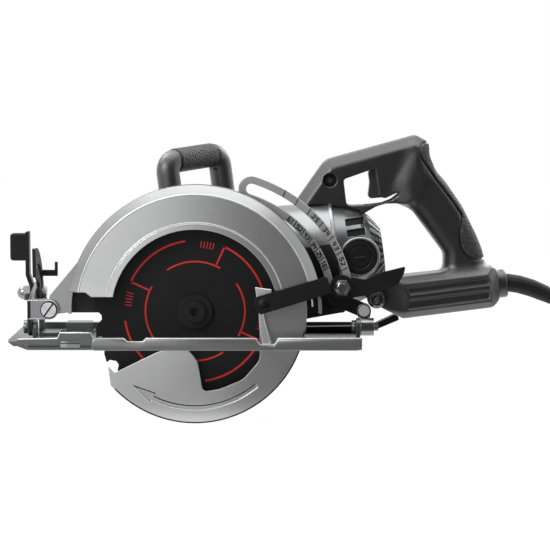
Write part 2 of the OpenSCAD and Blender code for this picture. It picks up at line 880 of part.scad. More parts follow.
module motor_cowl() {
    mean = (cowl_start - barrel_start - flange_ring_l) / (barrel_l - 2 * flange_ring_l);
    r0 = barrel_r + (barrel_rear_r - barrel_r) * mean + fit;
    r1 = barrel_rear_r + fit;
    stop = bell_start - flange_ring_l;
    form = [
        [cowl_start, r0], [cowl_start, r0 + cowl_t], [stop, r1 + cowl_t], [bell_start, r1 + cowl_t],
        [bell_start, r1], [stop, r1]
    ];
    color("#161617") difference() {
        at_motor() difference() {
            turned_x(form);
            box([cowl_start - cut, -2 * barrel_r, cowl_rise], [bell_start + cut, 2 * barrel_r, 2 * barrel_r]);
        }
        stud_boss(stud_boss_r + slip, motor_y);
    }
}

/* Gear housing */

tunnel_form = [
    [-tunnel_front, 0], [-tunnel_front, tunnel_r], [barrel_start / 3, tunnel_r],
    [barrel_start - flange_ring_l, barrel_r - barrel_wall], [barrel_start - flange_ring_l, flange_ring_r],
    [barrel_start, flange_ring_r], [barrel_start, 0]
];

module gear_housing() {
    front_seat = worm_l / 2 + slip;
    fan_room = barrel_rear_r - barrel_wall;
    color("#aeb0b2") difference() {
        union() {
            at_arbor() bar_y(tube_r, guard_far, tube_end);
            at_arbor() bar_y(collar_r, flange_back - lower_far + ring_t / 2, guard_far + cut);
            at_arbor() intersection() {
                bar_y(mount_flange_r, guard_far, guard_far + mount_flange_t);
                box([-mount_flange_r, 0, -mount_drop], [mount_flange_r, motor_y, mount_flange_r]);
            }
            at_motor() turned_x(tunnel_form);
            at_motor() saddle();
        }
        at_arbor() {
            bar_y(collar_r - collar_wall, 0, guard_far);
            bar_y(front_bearing_d / 2, guard_far - cut, guard_far + seal_t + front_bearing_w);
            bar_y(shaft_d / 2 + cut, guard_far, tube_end);
            bar_y(wheel_tip_r + cut, motor_y - wheel_w / 2 - cut, tube_end + cut);
            ring_y(spring_room_r, collar_r, guard_far - cut, guard_far + mount_flange_t - cut);
            for (a = guard_screw_angles)
                bar_y(guard_screw_d / 2 + fit, guard_far - cut, guard_far + 2 * mount_flange_t,
                    screw_circle_r * cos(a), screw_circle_r * sin(a));
        }
        at_motor() {
            bar_x(worm_tip_r + cut, -front_seat, mid_bearing_u + cut);
            bar_x(ball_d / 2, -tunnel_front - cut, -front_seat);
            bar_x(ball_d / 2, mid_bearing_u, mid_bearing_u + ball_w + cut);
            bar_x(armature_d / 2 + cut, mid_bearing_u, barrel_start);
            bar_x(fan_room, barrel_start - flange_ring_l, barrel_start + cut);
        }
    }
}

// Pad on the gear housing that carries the front handle
module saddle() {
    a = [leg_u, leg_y - motor_y];
    b = [leg_u + bar_skew, leg_y + bar_l * cos(asin(bar_skew / bar_l)) - motor_y];
    translate([0, 0, saddle_top - saddle_t]) {
        linear_extrude(saddle_t) hull() {
            translate(a) circle(d = saddle_w, $fn = 32);
            translate(b) circle(d = saddle_w, $fn = 32);
        }
        translate([(a[0] + b[0]) / 2 - saddle_w / 2, -saddle_w / 2, -saddle_top / 2])
            cube([saddle_w, saddle_w, saddle_top / 2 + cut]);
    }
}

module gear_cover() {
    seat = motor_y + wheel_w / 2 + cut;
    color("#a4a6a8") at_arbor() difference() {
        union() {
            bar_y(tube_r, tube_end, tube_end + cover_t);
            bar_y(rear_bearing_d / 2 + gear_wall, seat, tube_end);
            bar_y(wheel_tip_r + cut - fit, motor_y + worm_tip_r + 2 * cut, tube_end);
        }
        bar_y(rear_bearing_d / 2, seat - cut, seat + rear_bearing_w);
        bar_y(armature_d, seat - cut, tube_end + cover_t - gear_wall);
        bar_y(screw_d, tube_end, tube_end + cover_t + cut);
    }
}

module oil_plug() {
    color("#8f9194") at_arbor() {
        bar_y(screw_d - fit, tube_end + cover_t - gear_wall + cut, tube_end + cover_t);
        translate([0, tube_end + cover_t, 0]) rotate([-90, 0, 0]) cylinder(r = 2 * screw_d - cut, h = cover_t, $fn = 6);
    }
}

module worm_cap() {
    color("#a4a6a8") at_motor() {
        bar_x(tunnel_r, -tunnel_front - cap_t, -tunnel_front);
        bar_x(ball_d / 2 - fit, -tunnel_front, -worm_l / 2 - slip - ball_w);
    }
}

module guard_spring() {
    r = collar_r + gap + spring_wire / 2;
    y0 = guard_far - spring_wire / 2;
    steps = coil_rings;
    path = [
        for (i = [0 : spring_turns * steps])
            let (a = 360 * i / steps) [r * cos(a), y0 + spring_pitch * i / steps - spring_wire / 2, r * sin(a)]
    ];
    color("#55575a") at_arbor() tube(path, [for (p = path) spring_wire / 2], coil_sides, [1, 0, 0]);
}

/* Guards */

// Section of the upper guard: radius and distance from the blade
upper_section = let (
    w = guard_wall,
    r = guard_r,
    n = guard_near
) [
    [window_r, -n - lip_h], [window_r + lip_w - lip_h, -n - lip_h], [window_r + lip_w, -n], [r - rim_bevel, -n],
    [r, -n + rim_bevel], [r, guard_far], [spring_room_r, guard_far], [spring_room_r, guard_far - w],
    [r - w, guard_far - w], [r - w, -n + rim_bevel + w / 3], [r - rim_bevel - w / 3, -n + w], [window_r, -n + w]
];

// What is cut from the near side of the upper guard: all below its two ends, with a step at the front
module upper_cut() {
    step = step_in_shares * guard_r;
    polygon([
        [-2 * guard_r, guard_end_z + front_step], [-2 * guard_r, -2 * guard_r], [2 * guard_r, -2 * guard_r],
        [2 * guard_r, guard_rear_z], [0, guard_rear_z], [0, guard_end_z], [-step[1], guard_end_z],
        [-step[0], guard_end_z + front_step]
    ]);
}

// What is cut from the rim and the far wall: all below the tail, but for the land round the hub
module lower_cut() {
    difference() {
        translate([-2 * guard_r, -2 * guard_r]) square([4 * guard_r, 2 * guard_r - tail_z]);
        intersection() {
            circle(hub_land_r);
            translate([-hub_land_r, -mount_drop]) square([2 * hub_land_r, hub_land_r]);
        }
    }
}

module upper_guard() {
    reach = 2 * guard_r;
    ear = [pivot[0], pivot[1] - arbor_height];
    rim_mid = guard_r - guard_wall / 2;
    bevel_end = -guard_near + rim_bevel + guard_wall;
    color("#bfc1c3") difference() {
        union() {
            at_arbor() difference() {
                turned_y(upper_section);
                plate_y(-guard_near - reach, bevel_end) upper_cut();
                plate_y(bevel_end - cut, reach) lower_cut();
            }
            at_arbor() difference() {
                union() {
                    plate_y(0, ear_t) polygon([
                        [ear[0], ear[1] + gusset_front], [ear[0], ear[1] - ear_drop], [-rim_mid, -tail_z / 2],
                        [-window_r, 0], [-window_r, gusset_top], [-rim_mid + guard_wall * 2, gusset_top]
                    ]);
                    bar_y(ear_boss_r, -cut, ear_t + cut, ear[0], ear[1]);
                }
                bar_y(rim_mid, -reach, reach);
            }
        }
        bar_y(pivot_d / 2 + fit, -reach, reach, pivot[0], pivot[1]);
        at_arbor() for (a = guard_screw_angles) {
            x = screw_circle_r * cos(a);
            z = screw_circle_r * sin(a);
            bar_y(guard_screw_d / 2 + fit, 0, guard_far + cut, x, z);
            bar_y(guard_screw_head_d / 2 + fit, 0, guard_far - guard_wall / 3, x, z);
        }
    }
}

module guard_screws() {
    color("#77797c") at_arbor() for (a = guard_screw_angles) {
        x = screw_circle_r * cos(a);
        z = screw_circle_r * sin(a);
        bar_y(guard_screw_head_d / 2, guard_far - guard_wall, guard_far - guard_wall / 3, x, z);
        bar_y(guard_screw_d / 2, guard_far - guard_wall / 3, guard_far + mount_flange_t, x, z);
    }
}

// Sunk arrow that shows which way the blade turns
module guard_arrow() {
    far = arc([0, 0], arrow_r + arrow_w / 2, arrow_angles[0], arrow_angles[1], arc_steps);
    near = arc([0, 0], arrow_r - arrow_w / 2, arrow_angles[0], arrow_angles[1], arc_steps);
    polygon(concat(far, reversed(near)));
    polygon([
        turn([arrow_r + arrow_barb, 0], arrow_angles[1]), turn([arrow_r - arrow_barb, 0], arrow_angles[1]),
        turn([arrow_r, 0], arrow_angles[2])
    ]);
}

module lower_guard() {
    outer = arc([0, 0], lower_r, nose_angle, lower_end_angle, arc_steps);
    inner = rounded_open(scaled(lower_inner_shares, lower_r, lower_r, lower_r));
    boss = lift_boss_shares * lower_r;
    rim_in = lower_r - lower_wall;
    color("#c3c5c7") at_arbor() {
        difference() {
            plate_y(-lower_near, -lower_near + lower_wall) polygon(concat(outer, inner));
            plate_y(-lower_near - cut, -lower_near + arrow_deep) guard_arrow();
        }
        difference() {
            union() {
                plate_y(-lower_near + lower_wall, lower_far) polygon(concat(outer, [[0, 0]]));
                plate_y(lower_far - lower_wall, lower_far) circle(spring_room_r);
            }
            intersection() {
                bar_y(rim_in, -lower_near, lower_far - lower_wall);
                box([-lower_r, -lower_r, -lower_r], [lower_r, lower_far - lower_wall, lower_r]);
            }
            bar_y(collar_r + fit, -lower_r, lower_r);
        }
        bar_y(lift_boss_r, -guard_near - lip_h - lift_gap, -lower_near, boss[0], boss[1]);
    }
}

// Rounded corners along an open run of points; the ends keep their place
function rounded_open(points) = let (n = len(points)) [
    for (i = [0 : n - 1]) let (p = points[i])
        each (i == 0 || i == n - 1)
            ? [[p[0], p[1]]]
            : corner([points[i - 1][0], points[i - 1][1]], [p[0], p[1]], [points[i + 1][0], points[i + 1][1]], p[2])
];

module lift_lever() {
    boss = lift_boss_shares * lower_r;
    back = -guard_near - lip_h - lift_gap;
    half = lift_h / 2;
    color("#18181a") at_arbor() difference() {
        translate([boss[0], 0, boss[1]]) rotate([0, -lift_slope, 0]) plate_y(back - lift_t, back) polygon(rounded([
            [-half, -half, half * 0.6], [lift_l, -half, half * 0.3], [lift_l, half * 0.9, half * 0.3],
            [-half, half, half * 0.6]
        ]));
        bar_y(rivet_r / 2 + fit, -2 * guard_r, 0, boss[0], boss[1]);
    }
}

module lever_rivets() {
    boss = lift_boss_shares * lower_r;
    face = -guard_near - lip_h - lift_gap - lift_t;
    color("#8e9093") at_arbor() {
        translate([boss[0], face, boss[1]]) rotate([90, 0, 0]) rotate_extrude() intersection() {
            translate([0, rivet_h - (rivet_r * rivet_r + rivet_h * rivet_h) / (2 * rivet_h)])
                circle((rivet_r * rivet_r + rivet_h * rivet_h) / (2 * rivet_h));
            square([rivet_r, rivet_h]);
        }
        bar_y(rivet_r / 2, face, face + lift_t, boss[0], boss[1]);
    }
}

module guard_ring() {
    back = lower_far - lower_wall;
    color("#5e6063") at_arbor() ring_y(collar_r + ring_wall, collar_r + fit, back - ring_t - gap, back - gap);
}

/* Rear handle */

function handle_points(shares) = moved(
    scaled(shares, handle_l, handle_h, handle_l), [handle_start, -handle_low]
);
function handle_place(share) = [handle_start + share[0] * handle_l, share[1] * handle_h - handle_low];

// One half of the handle: drawn on the near side, its split face at the motor's plane
module handle_half(side) {
    half = grip_w / 2;
    wide = base_w / 2;
    hole = handle_points(trigger_hole_shares);
    base = handle_points(base_shares);
    slot = [for (s = slot_shares) handle_place(s)];
    switch = handle_place(switch_shares);
    at_motor() difference() {
        union() {
            edged_slab(side, neck_shares, neck_w / 2);
            edged_slab(side, grip_shares, half);
            edged_slab(side, foot_shares, foot_w / 2);
            half_slab(side) bevelled(base, [[0, 0], [wide - base_edge, 0], [wide, base_edge * edge_share]]);
            spigot(side);
        }
        for (panel = panel_shares) plate_y(side * wide - panel_deep, side * wide + panel_deep)
            polygon([for (p = panel) handle_place(p)]);
        plate_y(-grip_w, grip_w) polygon(rounded(hole));
        turned_x(grown(bell_form, slip));
        turned_x(grown(barrel_form, slip));
        box([slot[0][0], -trigger_w / 2 - slip, slot[0][1]], [slot[1][0], trigger_w / 2 + slip, slot[1][1]]);
        box([switch[0], -switch_w / 2, switch[1]], [switch[0] + switch_l, switch_w / 2, switch[1] + switch_h]);
        boot_seat();
        for (s = screw_shares) let (p = handle_place(s)) {
            bar_y(screw_d / 2 + fit, -base_w, base_w, p[0], p[1]);
            if (side < 0 && s[2] < 0) bar_y(screw_head_d / 2 + fit, -base_w, -screw_seat(s), p[0], p[1]);
            if (side > 0 && s[2] > 0) bar_y(screw_head_d / 2 + fit, screw_seat(s), base_w, p[0], p[1]);
        }
        let (p = handle_place(trigger_pin_shares)) bar_y(pin_d / 2 + fit, -half + hand_stop, half - hand_stop, p[0], p[1]);
    }
}

// Half of the round end that holds the cord boot
module spigot(side) {
    end = handle_start + handle_l;
    low = spigot_share * handle_h - handle_low;
    intersection() {
        translate([0, 0, low]) rotate([boot_turn, 0, 0]) bar_x(spigot_r, end - 2 * spigot_l, end);
        box([end - 2 * spigot_l, min(0, side * base_w), low - base_w], [end, max(0, side * base_w), low + base_w]);
    }
}

// Half of one of the handle's main forms, with its outer edges taken off
module edged_slab(side, shares, half) {
    half_slab(side)
        bevelled(handle_points(shares), [[0, 0], [half - grip_edge, 0], [half, grip_edge * edge_share]]);
}

// Depth at which a handle screw's head seats: deeper on the grip than on the base
function screw_seat(share) = (share[1] > base_shares[6][1] ? grip_w : base_w) / 2 - screw_sink;
function grown(form, d) = [for (p = form) [p[0], p[1] > 0 ? p[1] + d : 0]];

// Bore in the handle's foot for the cord boot, drawn back into the motor's frame
module boot_seat() {
    translate([0, -motor_y, -gear_distance]) rotate([0, motor_tilt, 0]) translate(-arbor)
        translate([0, boot_route[0][1], boot_route[0][2]]) rotate([boot_turn, 0, 0])
            bar_x(boot_r + fit, boot_route[0][0] - fit, 2 * boot_route[1][0]);
}

module half_slab(side) {
    rotate([90, 0, 0]) mirror([0, 0, side < 0 ? 0 : 1]) children();
}

module handle_left() {
    color("#1d1d1f") handle_half(-1);
}

module handle_right() {
    color("#1d1d1f") handle_half(1);
}

module grip_pad() {
    outline = rounded(handle_points(pad_shares));
    half = grip_w / 2;
    color("#2b2b2d") at_motor() {
        plate_y(-half - pad_t, -half) polygon(outline);
        plate_y(half, half + pad_t) polygon(outline);
    }
}

module handle_screws() {
    color("#85878a") at_motor() for (s = screw_shares) let (p = handle_place(s)) {
        translate([p[0], 0, p[1]]) mirror([0, s[2] < 0 ? 1 : 0, 0]) {
            bar_y(screw_head_d / 2, screw_seat(s), screw_seat(s) + screw_sink / 2);
            bar_y(screw_d / 2, -grip_w / 4, screw_seat(s));
        }
    }
}

module switch_module() {
    p = handle_place(switch_shares);
    color("#3b3b3d") at_motor() box(
        [p[0] + slip, -switch_w / 2 + fit, p[1] + slip],
        [p[0] + switch_l - slip, switch_w / 2 - fit, p[1] + switch_h - slip]
    );
}

module trigger() {
    p = handle_place(trigger_pin_shares);
    outline = rounded(moved(scaled(trigger_shares, trigger_l, trigger_h, trigger_l), p));
    half = trigger_w / 2;
    color("#202022") at_motor() difference() {
        plate_y(-half, half) polygon(outline);
        bar_y(pin_d / 2 + fit, -grip_w, grip_w, p[0], p[1]);
    }
}

module trigger_pin() {
    p = handle_place(trigger_pin_shares);
    half = grip_w / 2 - hand_stop;
    color("#9a9ca0") at_motor() bar_y(pin_d / 2, -half + fit, half - fit, p[0], p[1]);
}

/* Front handle */

module front_handle() {
    depth = bar_l * cos(asin(bar_skew / bar_l));
    a = [leg_u, leg_y - motor_y, saddle_top];
    b = a + [bar_skew, depth, 0];
    top = bar_h - bar_d / 2;
    r = bar_d * 0.9;
    side = unit(b - a);
    up = [0, 0, 1];
    first = [for (i = [0 : corner_steps]) let (t = quarter * i / corner_steps)
        a + up * (top - r) + r * (side * (1 - cos(t)) + up * sin(t))];
    second = [for (i = [0 : corner_steps]) let (t = quarter * i / corner_steps)
        b + up * (top - r) + r * (up * cos(t) - side * (1 - sin(t)))];
    path = concat([a], first, second, [b]);
    color("#1e1e20") at_motor() tube(path, [for (p = path) bar_d / 2], 16, [side[1], -side[0], 0]);
}

/* Depth adjustment */

// Place of the stud in the bracket for each degree of travel
function slot_point(t) = swing_pin
    + turn(pivot + turn(stud - pivot, t) - swing_pin, swing_ratio * t);
slot_path = [for (i = [-2 : slot_steps + 1]) slot_point(depth_travel * i / slot_steps)];
function beside(path, d) = let (n = len(path)) [
    for (i = [0 : n - 1]) let (t = unit(path[min(i + 1, n - 1)] - path[max(i - 1, 0)])) path[i] + d * [-t[1], t[0]]
];
function band(path, d) = let (
    n = len(path),
    t0 = unit(path[0] - path[1]),
    t1 = unit(path[n - 1] - path[n - 2]),
    a0 = atan2(t0[1], t0[0]),
    a1 = atan2(t1[1], t1[0])
) concat(
    beside(path, -d),
    [for (i = [1 : 2 * corner_steps - 1]) path[n - 1] + d * [cos(a1 - 90 + 90 * i / corner_steps), sin(a1 - 90 + 90 * i / corner_steps)]],
    reversed(beside(path, d)),
    [for (i = [1 : 2 * corner_steps - 1]) path[0] + d * [cos(a0 - 90 + 90 * i / corner_steps), sin(a0 - 90 + 90 * i / corner_steps)]]
);

module depth_bracket() {
    low = slot_path[0];
    color("#9fa1a4") difference() {
        plate_y(bracket_near, bracket_far) difference() {
            union() {
                polygon(band(slot_path, slot_w / 2 + arm_w));
                hull() {
                    translate(swing_pin) circle(eye_r, $fn = 32);
                    translate(low) circle(eye_r, $fn = 32);
                }
            }
            polygon(band(slot_path, slot_w / 2));
        }
        bar_y(pin_d + fit, -motor_y, motor_y, swing_pin[0], swing_pin[1]);
    }
}

module depth_stud() {
    color("#a9abae") {
        bar_y(stud_d / 2, bracket_near - slip - depth_lever_t - depth_nut_h / 2, motor_y - barrel_rear_r + stud_d / 2, stud[0], stud[1]);
        bar_y(stud_collar_d / 2, bracket_near, bracket_far + slip, stud[0], stud[1]);
    }
}

module depth_lever() {
    back = bracket_near - slip;
    arm = rounded(moved(scaled(depth_lever_shares, depth_lever_l, depth_lever_l, depth_lever_l), stud));
    color("#19191b") difference() {
        union() {
            bar_y(depth_hub_r, back - depth_lever_t, back, stud[0], stud[1]);
            plate_y(back - depth_lever_t, back) polygon(arm);
        }
        bar_y(stud_d / 2 + fit, -motor_y, motor_y, stud[0], stud[1]);
    }
}

module depth_nut() {
    face = bracket_near - slip - depth_lever_t;
    color("#c9cbce") difference() {
        translate([stud[0], face - depth_nut_h, stud[1]]) rotate([-90, 0, 0])
            cylinder(r = depth_nut_r, h = depth_nut_h, $fn = 6);
        bar_y(stud_d / 2 + fit, face - depth_nut_h / 2 - fit, face + cut, stud[0], stud[1]);
    }
}

/* Tilt frame */

bevel_bolt = [bevel_y, bevel_z] + quadrant_r * [cos(bevel_rest), sin(bevel_rest)];

module front_bracket() {
    x0 = -plate_front;
    x1 = x0 + plate_t;
    near = -cheek_gap - cut;
    far = ear_t + cut + cheek_gap;
    low = pivot[1] - cheek_r;
    color("#b0b2b4") difference() {
        union() {
            plate_x(x0, x1) {
                hull() {
                    translate([bevel_y, bevel_z]) circle(hinge_r, $fn = 32);
                    translate([near - cheek_t, low]) square([far - near + 2 * cheek_t, 2 * cheek_r]);
                }
                hull() {
                    translate([bevel_y, pivot[1]]) circle(cheek_r, $fn = 32);
                    translate(bevel_bolt) circle(bevel_arm_r, $fn = 32);
                }
            }
            for (y = [near - cheek_t, far]) plate_y(y, y + cheek_t) union() {
                translate(pivot) circle(cheek_r);
                translate([x1 - cut, low]) square([pivot[0] - x1 + cut, 2 * cheek_r]);
            }
        }
        bar_y(pivot_d / 2 + fit, -motor_y, motor_y, pivot[0], pivot[1]);
        bar_x(hinge_bolt_d / 2 + fit, x0 - cut, x1 + cut, bevel_y, bevel_z);
        bar_x(bevel_bolt_d / 2 + fit, x0 - cut, x1 + cut, bevel_bolt[0], bevel_bolt[1]);
    }
}

module pivot_screw() {
    near = -cheek_gap - cut - cheek_t;
    far = ear_t + cut + cheek_gap + cheek_t;
    color("#b5b7ba") difference() {
        union() {
            bar_y(pivot_head_d / 2, near - pivot_head_t, near, pivot[0], pivot[1]);
            bar_y(pivot_d / 2, near, far, pivot[0], pivot[1]);
            bar_y(pivot_head_d / 2, far, far + pivot_head_t, pivot[0], pivot[1]);
        }
        translate([pivot[0], near - pivot_head_t, pivot[1]]) rotate([0, 30, 0])
            cube([pivot_head_d + cut, cap_slot, cap_slot], center = true);
    }
}

rear_face = shoe_rear + slip;

module rear_hinge() {
    x1 = rear_face + rear_barrel_l;
    y0 = bracket_near - fork_gap - fork_t;
    y1 = bracket_far + fork_gap;
    color("#a6a8ab") difference() {
        union() {
            bar_x(hinge_r, rear_face, x1, bevel_y, bevel_z);
            for (y = [y0, y1]) plate_y(y, y + fork_t) hull() {
                translate(swing_pin) circle(eye_r, $fn = 32);
                translate([rear_face, bevel_z]) square([eye_r, cut]);
            }
            box([rear_face, y0, bevel_z], [rear_face + eye_r, y1 + fork_t, swing_height - eye_r - slip - cut]);
        }
        box([rear_face - 2 * eye_r, y0 - cut, 0], [rear_face, y1 + fork_t + cut, bevel_z + hinge_r + slip]);
        bar_y(pin_d + fit, y0 - cut, y1 + fork_t + cut, swing_pin[0], swing_pin[1]);
        bar_x(hinge_bolt_d / 2 + fit, rear_face - cut, x1 + cut, bevel_y, bevel_z);
    }
}

module bracket_pin() {
    y0 = bracket_near - fork_gap - fork_t;
    y1 = bracket_far + fork_gap + fork_t;
    color("#c2c4c6") {
        bar_y(pin_d, y0, y1, swing_pin[0], swing_pin[1]);
        bar_y(pin_d + cut, y0 - cut, y0, swing_pin[0], swing_pin[1]);
    }
}

/* Shoe and bevel pieces */

// Section of the shoe across its width, with both edges turned up
module shoe_section() {
    t = shoe_t;
    r = edge_r;
    polygon(concat(
        arc([-shoe_near + r, r], r, 270, 180, corner_steps),
        [[-shoe_near, edge_h], [-shoe_near + t, edge_h]],
        arc([-shoe_near + r, r], r - t, 180, 270, corner_steps),
        arc([shoe_far - r, r], r - t, 270, 360, corner_steps),
        [[shoe_far - t, edge_h], [shoe_far, edge_h]],
        arc([shoe_far - r, r], r, 360, 270, corner_steps)
    ));
}

module shoe() {
    x0 = -shoe_front + nose_l;
    raised = raised_shares * lower_r;
    fence = fence_slot_shares * lower_r;
    color("#b3b5b7") difference() {
        union() {
            plate_x(x0, shoe_rear) shoe_section();
            plate_y(-shoe_near + edge_r, shoe_far - edge_r) polygon([
                [x0, 0], [x0, shoe_t], [x0 - nose_l, nose_h + shoe_t], [x0 - nose_l, nose_h]
            ]);
            plate_y(-shoe_near, -shoe_near + shoe_t)
                polygon([[x0, edge_r], [x0, edge_h], [x0 - nose_l, nose_h + shoe_t / 2], [x0 - nose_l + edge_r, nose_h - edge_r / 2]]);
            plate_y(-shoe_near, -shoe_near + shoe_t) polygon([
                [raised[0] - raised_h, edge_r], [raised[0], edge_h + raised_h], [raised[1], edge_h + raised_h],
                [raised[1] + raised_h, edge_r]
            ]);
            hinge_tab(-plate_front + plate_t + slip, tab_t);
            hinge_tab(shoe_rear - rear_tab_t, rear_tab_t);
        }
        box([-blade_slot, -slot_near, -cut], [blade_slot, slot_far, shoe_t + cut]);
        for (n = notch_shares) box(
            [n[0] * lower_r, -shoe_near - cut, edge_h - notch_depth],
            [n[1] * lower_r, -shoe_near + edge_r + cut, edge_h + cut]
        );
        box([fence[0], -shoe_near - cut, shoe_t + fit], [fence[1], -shoe_near + edge_r, shoe_t + fit + fence_slot_h]);
        bar_x(hinge_bolt_d / 2 + fit, -2 * shoe_l, 2 * shoe_l, bevel_y, bevel_z);
    }
}

module hinge_tab(x, t) {
    plate_x(x, x + t) union() {
        translate([bevel_y, bevel_z]) circle(hinge_r);
        translate([bevel_y - hinge_r, shoe_t - cut]) square([2 * hinge_r, bevel_z - shoe_t + cut]);
    }
}

// Quadrant, fence guide, stop hook and the bolts that stay with the shoe
module bevel_parts() {
    x0 = -plate_front + plate_t + slip;
    x1 = x0 + quadrant_t;
    foot = bevel_y + quadrant_r - quadrant_w / 2;
    stop_r = quadrant_r + quadrant_w / 2 - stop_w;
    stop = [bevel_y, bevel_z] + stop_r * [cos(stop_angle), sin(stop_angle)];
    color("#a2a4a7") {
        difference() {
            union() {
                plate_x(x0, x1) polygon(concat(
                    arc([bevel_y, bevel_z], quadrant_r + quadrant_w / 2, quadrant_from, quadrant_to, arc_steps),
                    arc([bevel_y, bevel_z], quadrant_r - quadrant_w / 2, quadrant_to, quadrant_from, arc_steps)
                ));
                box([x0, foot, shoe_t], [x1, foot + quadrant_w, bevel_z]);
                box([x0, foot, shoe_t], [x1 + quadrant_foot, foot + quadrant_w, shoe_t + quadrant_t]);
                plate_x(x1, x1 + stop_l) translate(stop) square([stop_w, stop_w], center = true);
                box([x1 + stop_l - stop_w, stop[0] - stop_w / 2, stop[1]],
                    [x1 + stop_l, stop[0] + stop_w / 2, stop[1] + stop_h]);
            }
            plate_x(x0 - cut, x1 + cut) polygon(concat(
                arc([bevel_y, bevel_z], quadrant_r + bevel_bolt_d / 2 + slip, bevel_rest - 5, bevel_rest + bevel_travel + 5, arc_steps),
                arc([bevel_y, bevel_z], quadrant_r - bevel_bolt_d / 2 - slip, bevel_rest + bevel_travel + 5, bevel_rest - 5, arc_steps)
            ));
        }
        fence_guide();
        for (x = [-plate_front - hinge_head_t - gap, shoe_rear - rear_tab_t - hinge_head_t])
            bar_x(hinge_head_d / 2, x, x + hinge_head_t, bevel_y, bevel_z);
        bar_x(hinge_bolt_d / 2, -plate_front - gap, x0 + tab_t, bevel_y, bevel_z);
        bar_x(hinge_bolt_d / 2, shoe_rear - rear_tab_t, rear_face + rear_barrel_l + hinge_head_t, bevel_y, bevel_z);
    }
}

// Bridge that the rip fence's bar slides under
module fence_guide() {
    x0 = fence_slot_shares[0] * lower_r;
    x1 = fence_slot_shares[1] * lower_r;
    difference() {
        box([x0 - shoe_t, guide_y, shoe_t], [x1 + shoe_t, guide_y + guide_l, shoe_t + guide_h]);
        box([x0, guide_y - cut, shoe_t - cut], [x1, guide_y + guide_l + cut, shoe_t + fit + fence_slot_h]);
    }
}

module wrench() {
    x1 = wrench_x + wrench_l - wrench_tail;
    z = shoe_t;
    rise = [wrench_tail * cos(wrench_bend), wrench_tail * sin(wrench_bend)];
    up = wrench_t * [-sin(wrench_bend), cos(wrench_bend)];
    color("#141415") difference() {
        union() {
            plate_y(wrench_y, wrench_y + wrench_w) polygon([
                [wrench_x, z], [x1, z], [x1 + rise[0], z + rise[1]], [x1 + rise[0] + up[0], z + rise[1] + up[1]],
                [x1 + up[0] / 2, z + wrench_t], [wrench_x, z + wrench_t]
            ]);
            bar_z(wrench_head_r, z, z + wrench_t + cut, wrench_x, wrench_y + wrench_w / 2);
        }
        translate([wrench_x, wrench_y + wrench_w / 2, z - cut]) cylinder(d = wrench_hex, h = wrench_t + 3 * cut, $fn = 6);
    }
}
module bar_z(r, z0, z1, x, y) {
    translate([x, y, z0]) cylinder(r = r, h = z1 - z0);
}

// Lock lever with its acorn nut and bolt
module bevel_lever() {
    x0 = -plate_front - slip - bevel_lever_t;
    x1 = x0 + bevel_lever_t;
    y = bevel_bolt[0];
    z = bevel_bolt[1];
    behind = -plate_front + plate_t + slip + quadrant_t + slip;
    color("#17171a") {
        difference() {
            plate_x(x0, x1) hull() {
                translate(bevel_bolt) circle(bevel_arm_r, $fn = 32);
                translate([y, z + bevel_lever_l]) circle(bevel_lever_w / 2, $fn = 32);
            }
            bar_x(bevel_bolt_d / 2 - fit, x0 - cut, x1 + cut, y, z);
        }
        box([x0 - bevel_pad_l, y - bevel_pad_t / 2, z + bevel_lever_l - bevel_pad_h / 2],
            [x0, y + bevel_pad_t / 2, z + bevel_lever_l + bevel_pad_h / 2]);
        bar_x(acorn_r, x0 - acorn_l, x0, y, z);
        translate([x0 - acorn_l, y, z]) sphere(acorn_r);
        bar_x(bevel_bolt_d / 2, x0, behind, y, z);
        bar_x(hinge_head_d / 2, behind, behind + hinge_head_t, y, z);
    }
}

/* Cord */

function spiral(i) = let (
    n = coil_turns * coil_rings,
    half = coil_rings / 2,
    down = min(i, n),
    climb = max(0, min(i - n, half)),
    out = max(0, i - n - half),
    a = coil_start - 360 * i / coil_rings,
    r = coil_out_r - coil_step * down / coil_rings + coil_step * out / coil_rings,
    z = coil_low + coil_step * climb / half
) [coil_centre[0] + r * cos(a), coil_centre[1] + r * sin(a), z];
coil_count = 2 * coil_turns * coil_rings + 3 * coil_rings / 4;
coil_end = spiral(coil_count);
plug_at = [coil_end[0], coil_end[1] + tail_l, floor_z + plug_r];
coil_tail = [
    for (i = [1 : corner_steps]) let (t = i / corner_steps, e = t * t * (3 - 2 * t))
        [coil_end[0], coil_end[1] + tail_l * t, coil_end[2] + (plug_at[2] - coil_end[2]) * e]
];
coil_path = concat([for (i = [0 : coil_count]) spiral(i)], coil_tail);

// Least gap between stretches of the coil more than half a turn apart
coil_self_gap = min([
    for (i = [0 : 2 : coil_count], j = [i + coil_rings / 2 : 1 : coil_count]) norm(coil_path[i] - coil_path[j])
]) - cord_d;
echo(coil_self_gap = coil_self_gap);

module cord_boot() {
    n = len(boot_route) - 1;
    radii = [for (i = [0 : n]) boot_r + (boot_tip_r - boot_r) * pow(i / n, boot_taper)];
    color("#19191a") tube(boot_route, radii, 16, [0, 1, 0]);
}

// Points of a smooth drop from a to b that leaves and arrives along the given ways
function drop(a, leaving, b, arriving, pulls, steps) = let (
    p = a + pulls[0] * leaving,
    q = b - pulls[1] * arriving
) [
    for (i = [0 : steps]) let (t = i / steps, s = 1 - t)
        s * s * s * a + 3 * s * s * t * p + 3 * s * t * t * q + t * t * t * b
];

module cord_lead() {
    entry = coil_path[0] - [lead_gap, 0, 0];
    path = drop(lead_start, lead_way, entry, [1, 0, 0], lead_pulls, lead_steps);
    color("#1a1a1b") tube(path, [for (p = path) cord_d / 2], cord_sides, [0, 1, 0]);
}

module cord_coil() {
    color("#1a1a1b") tube(coil_path, [for (p = coil_path) cord_d / 2], coil_sides, [0, 1, 0]);
}

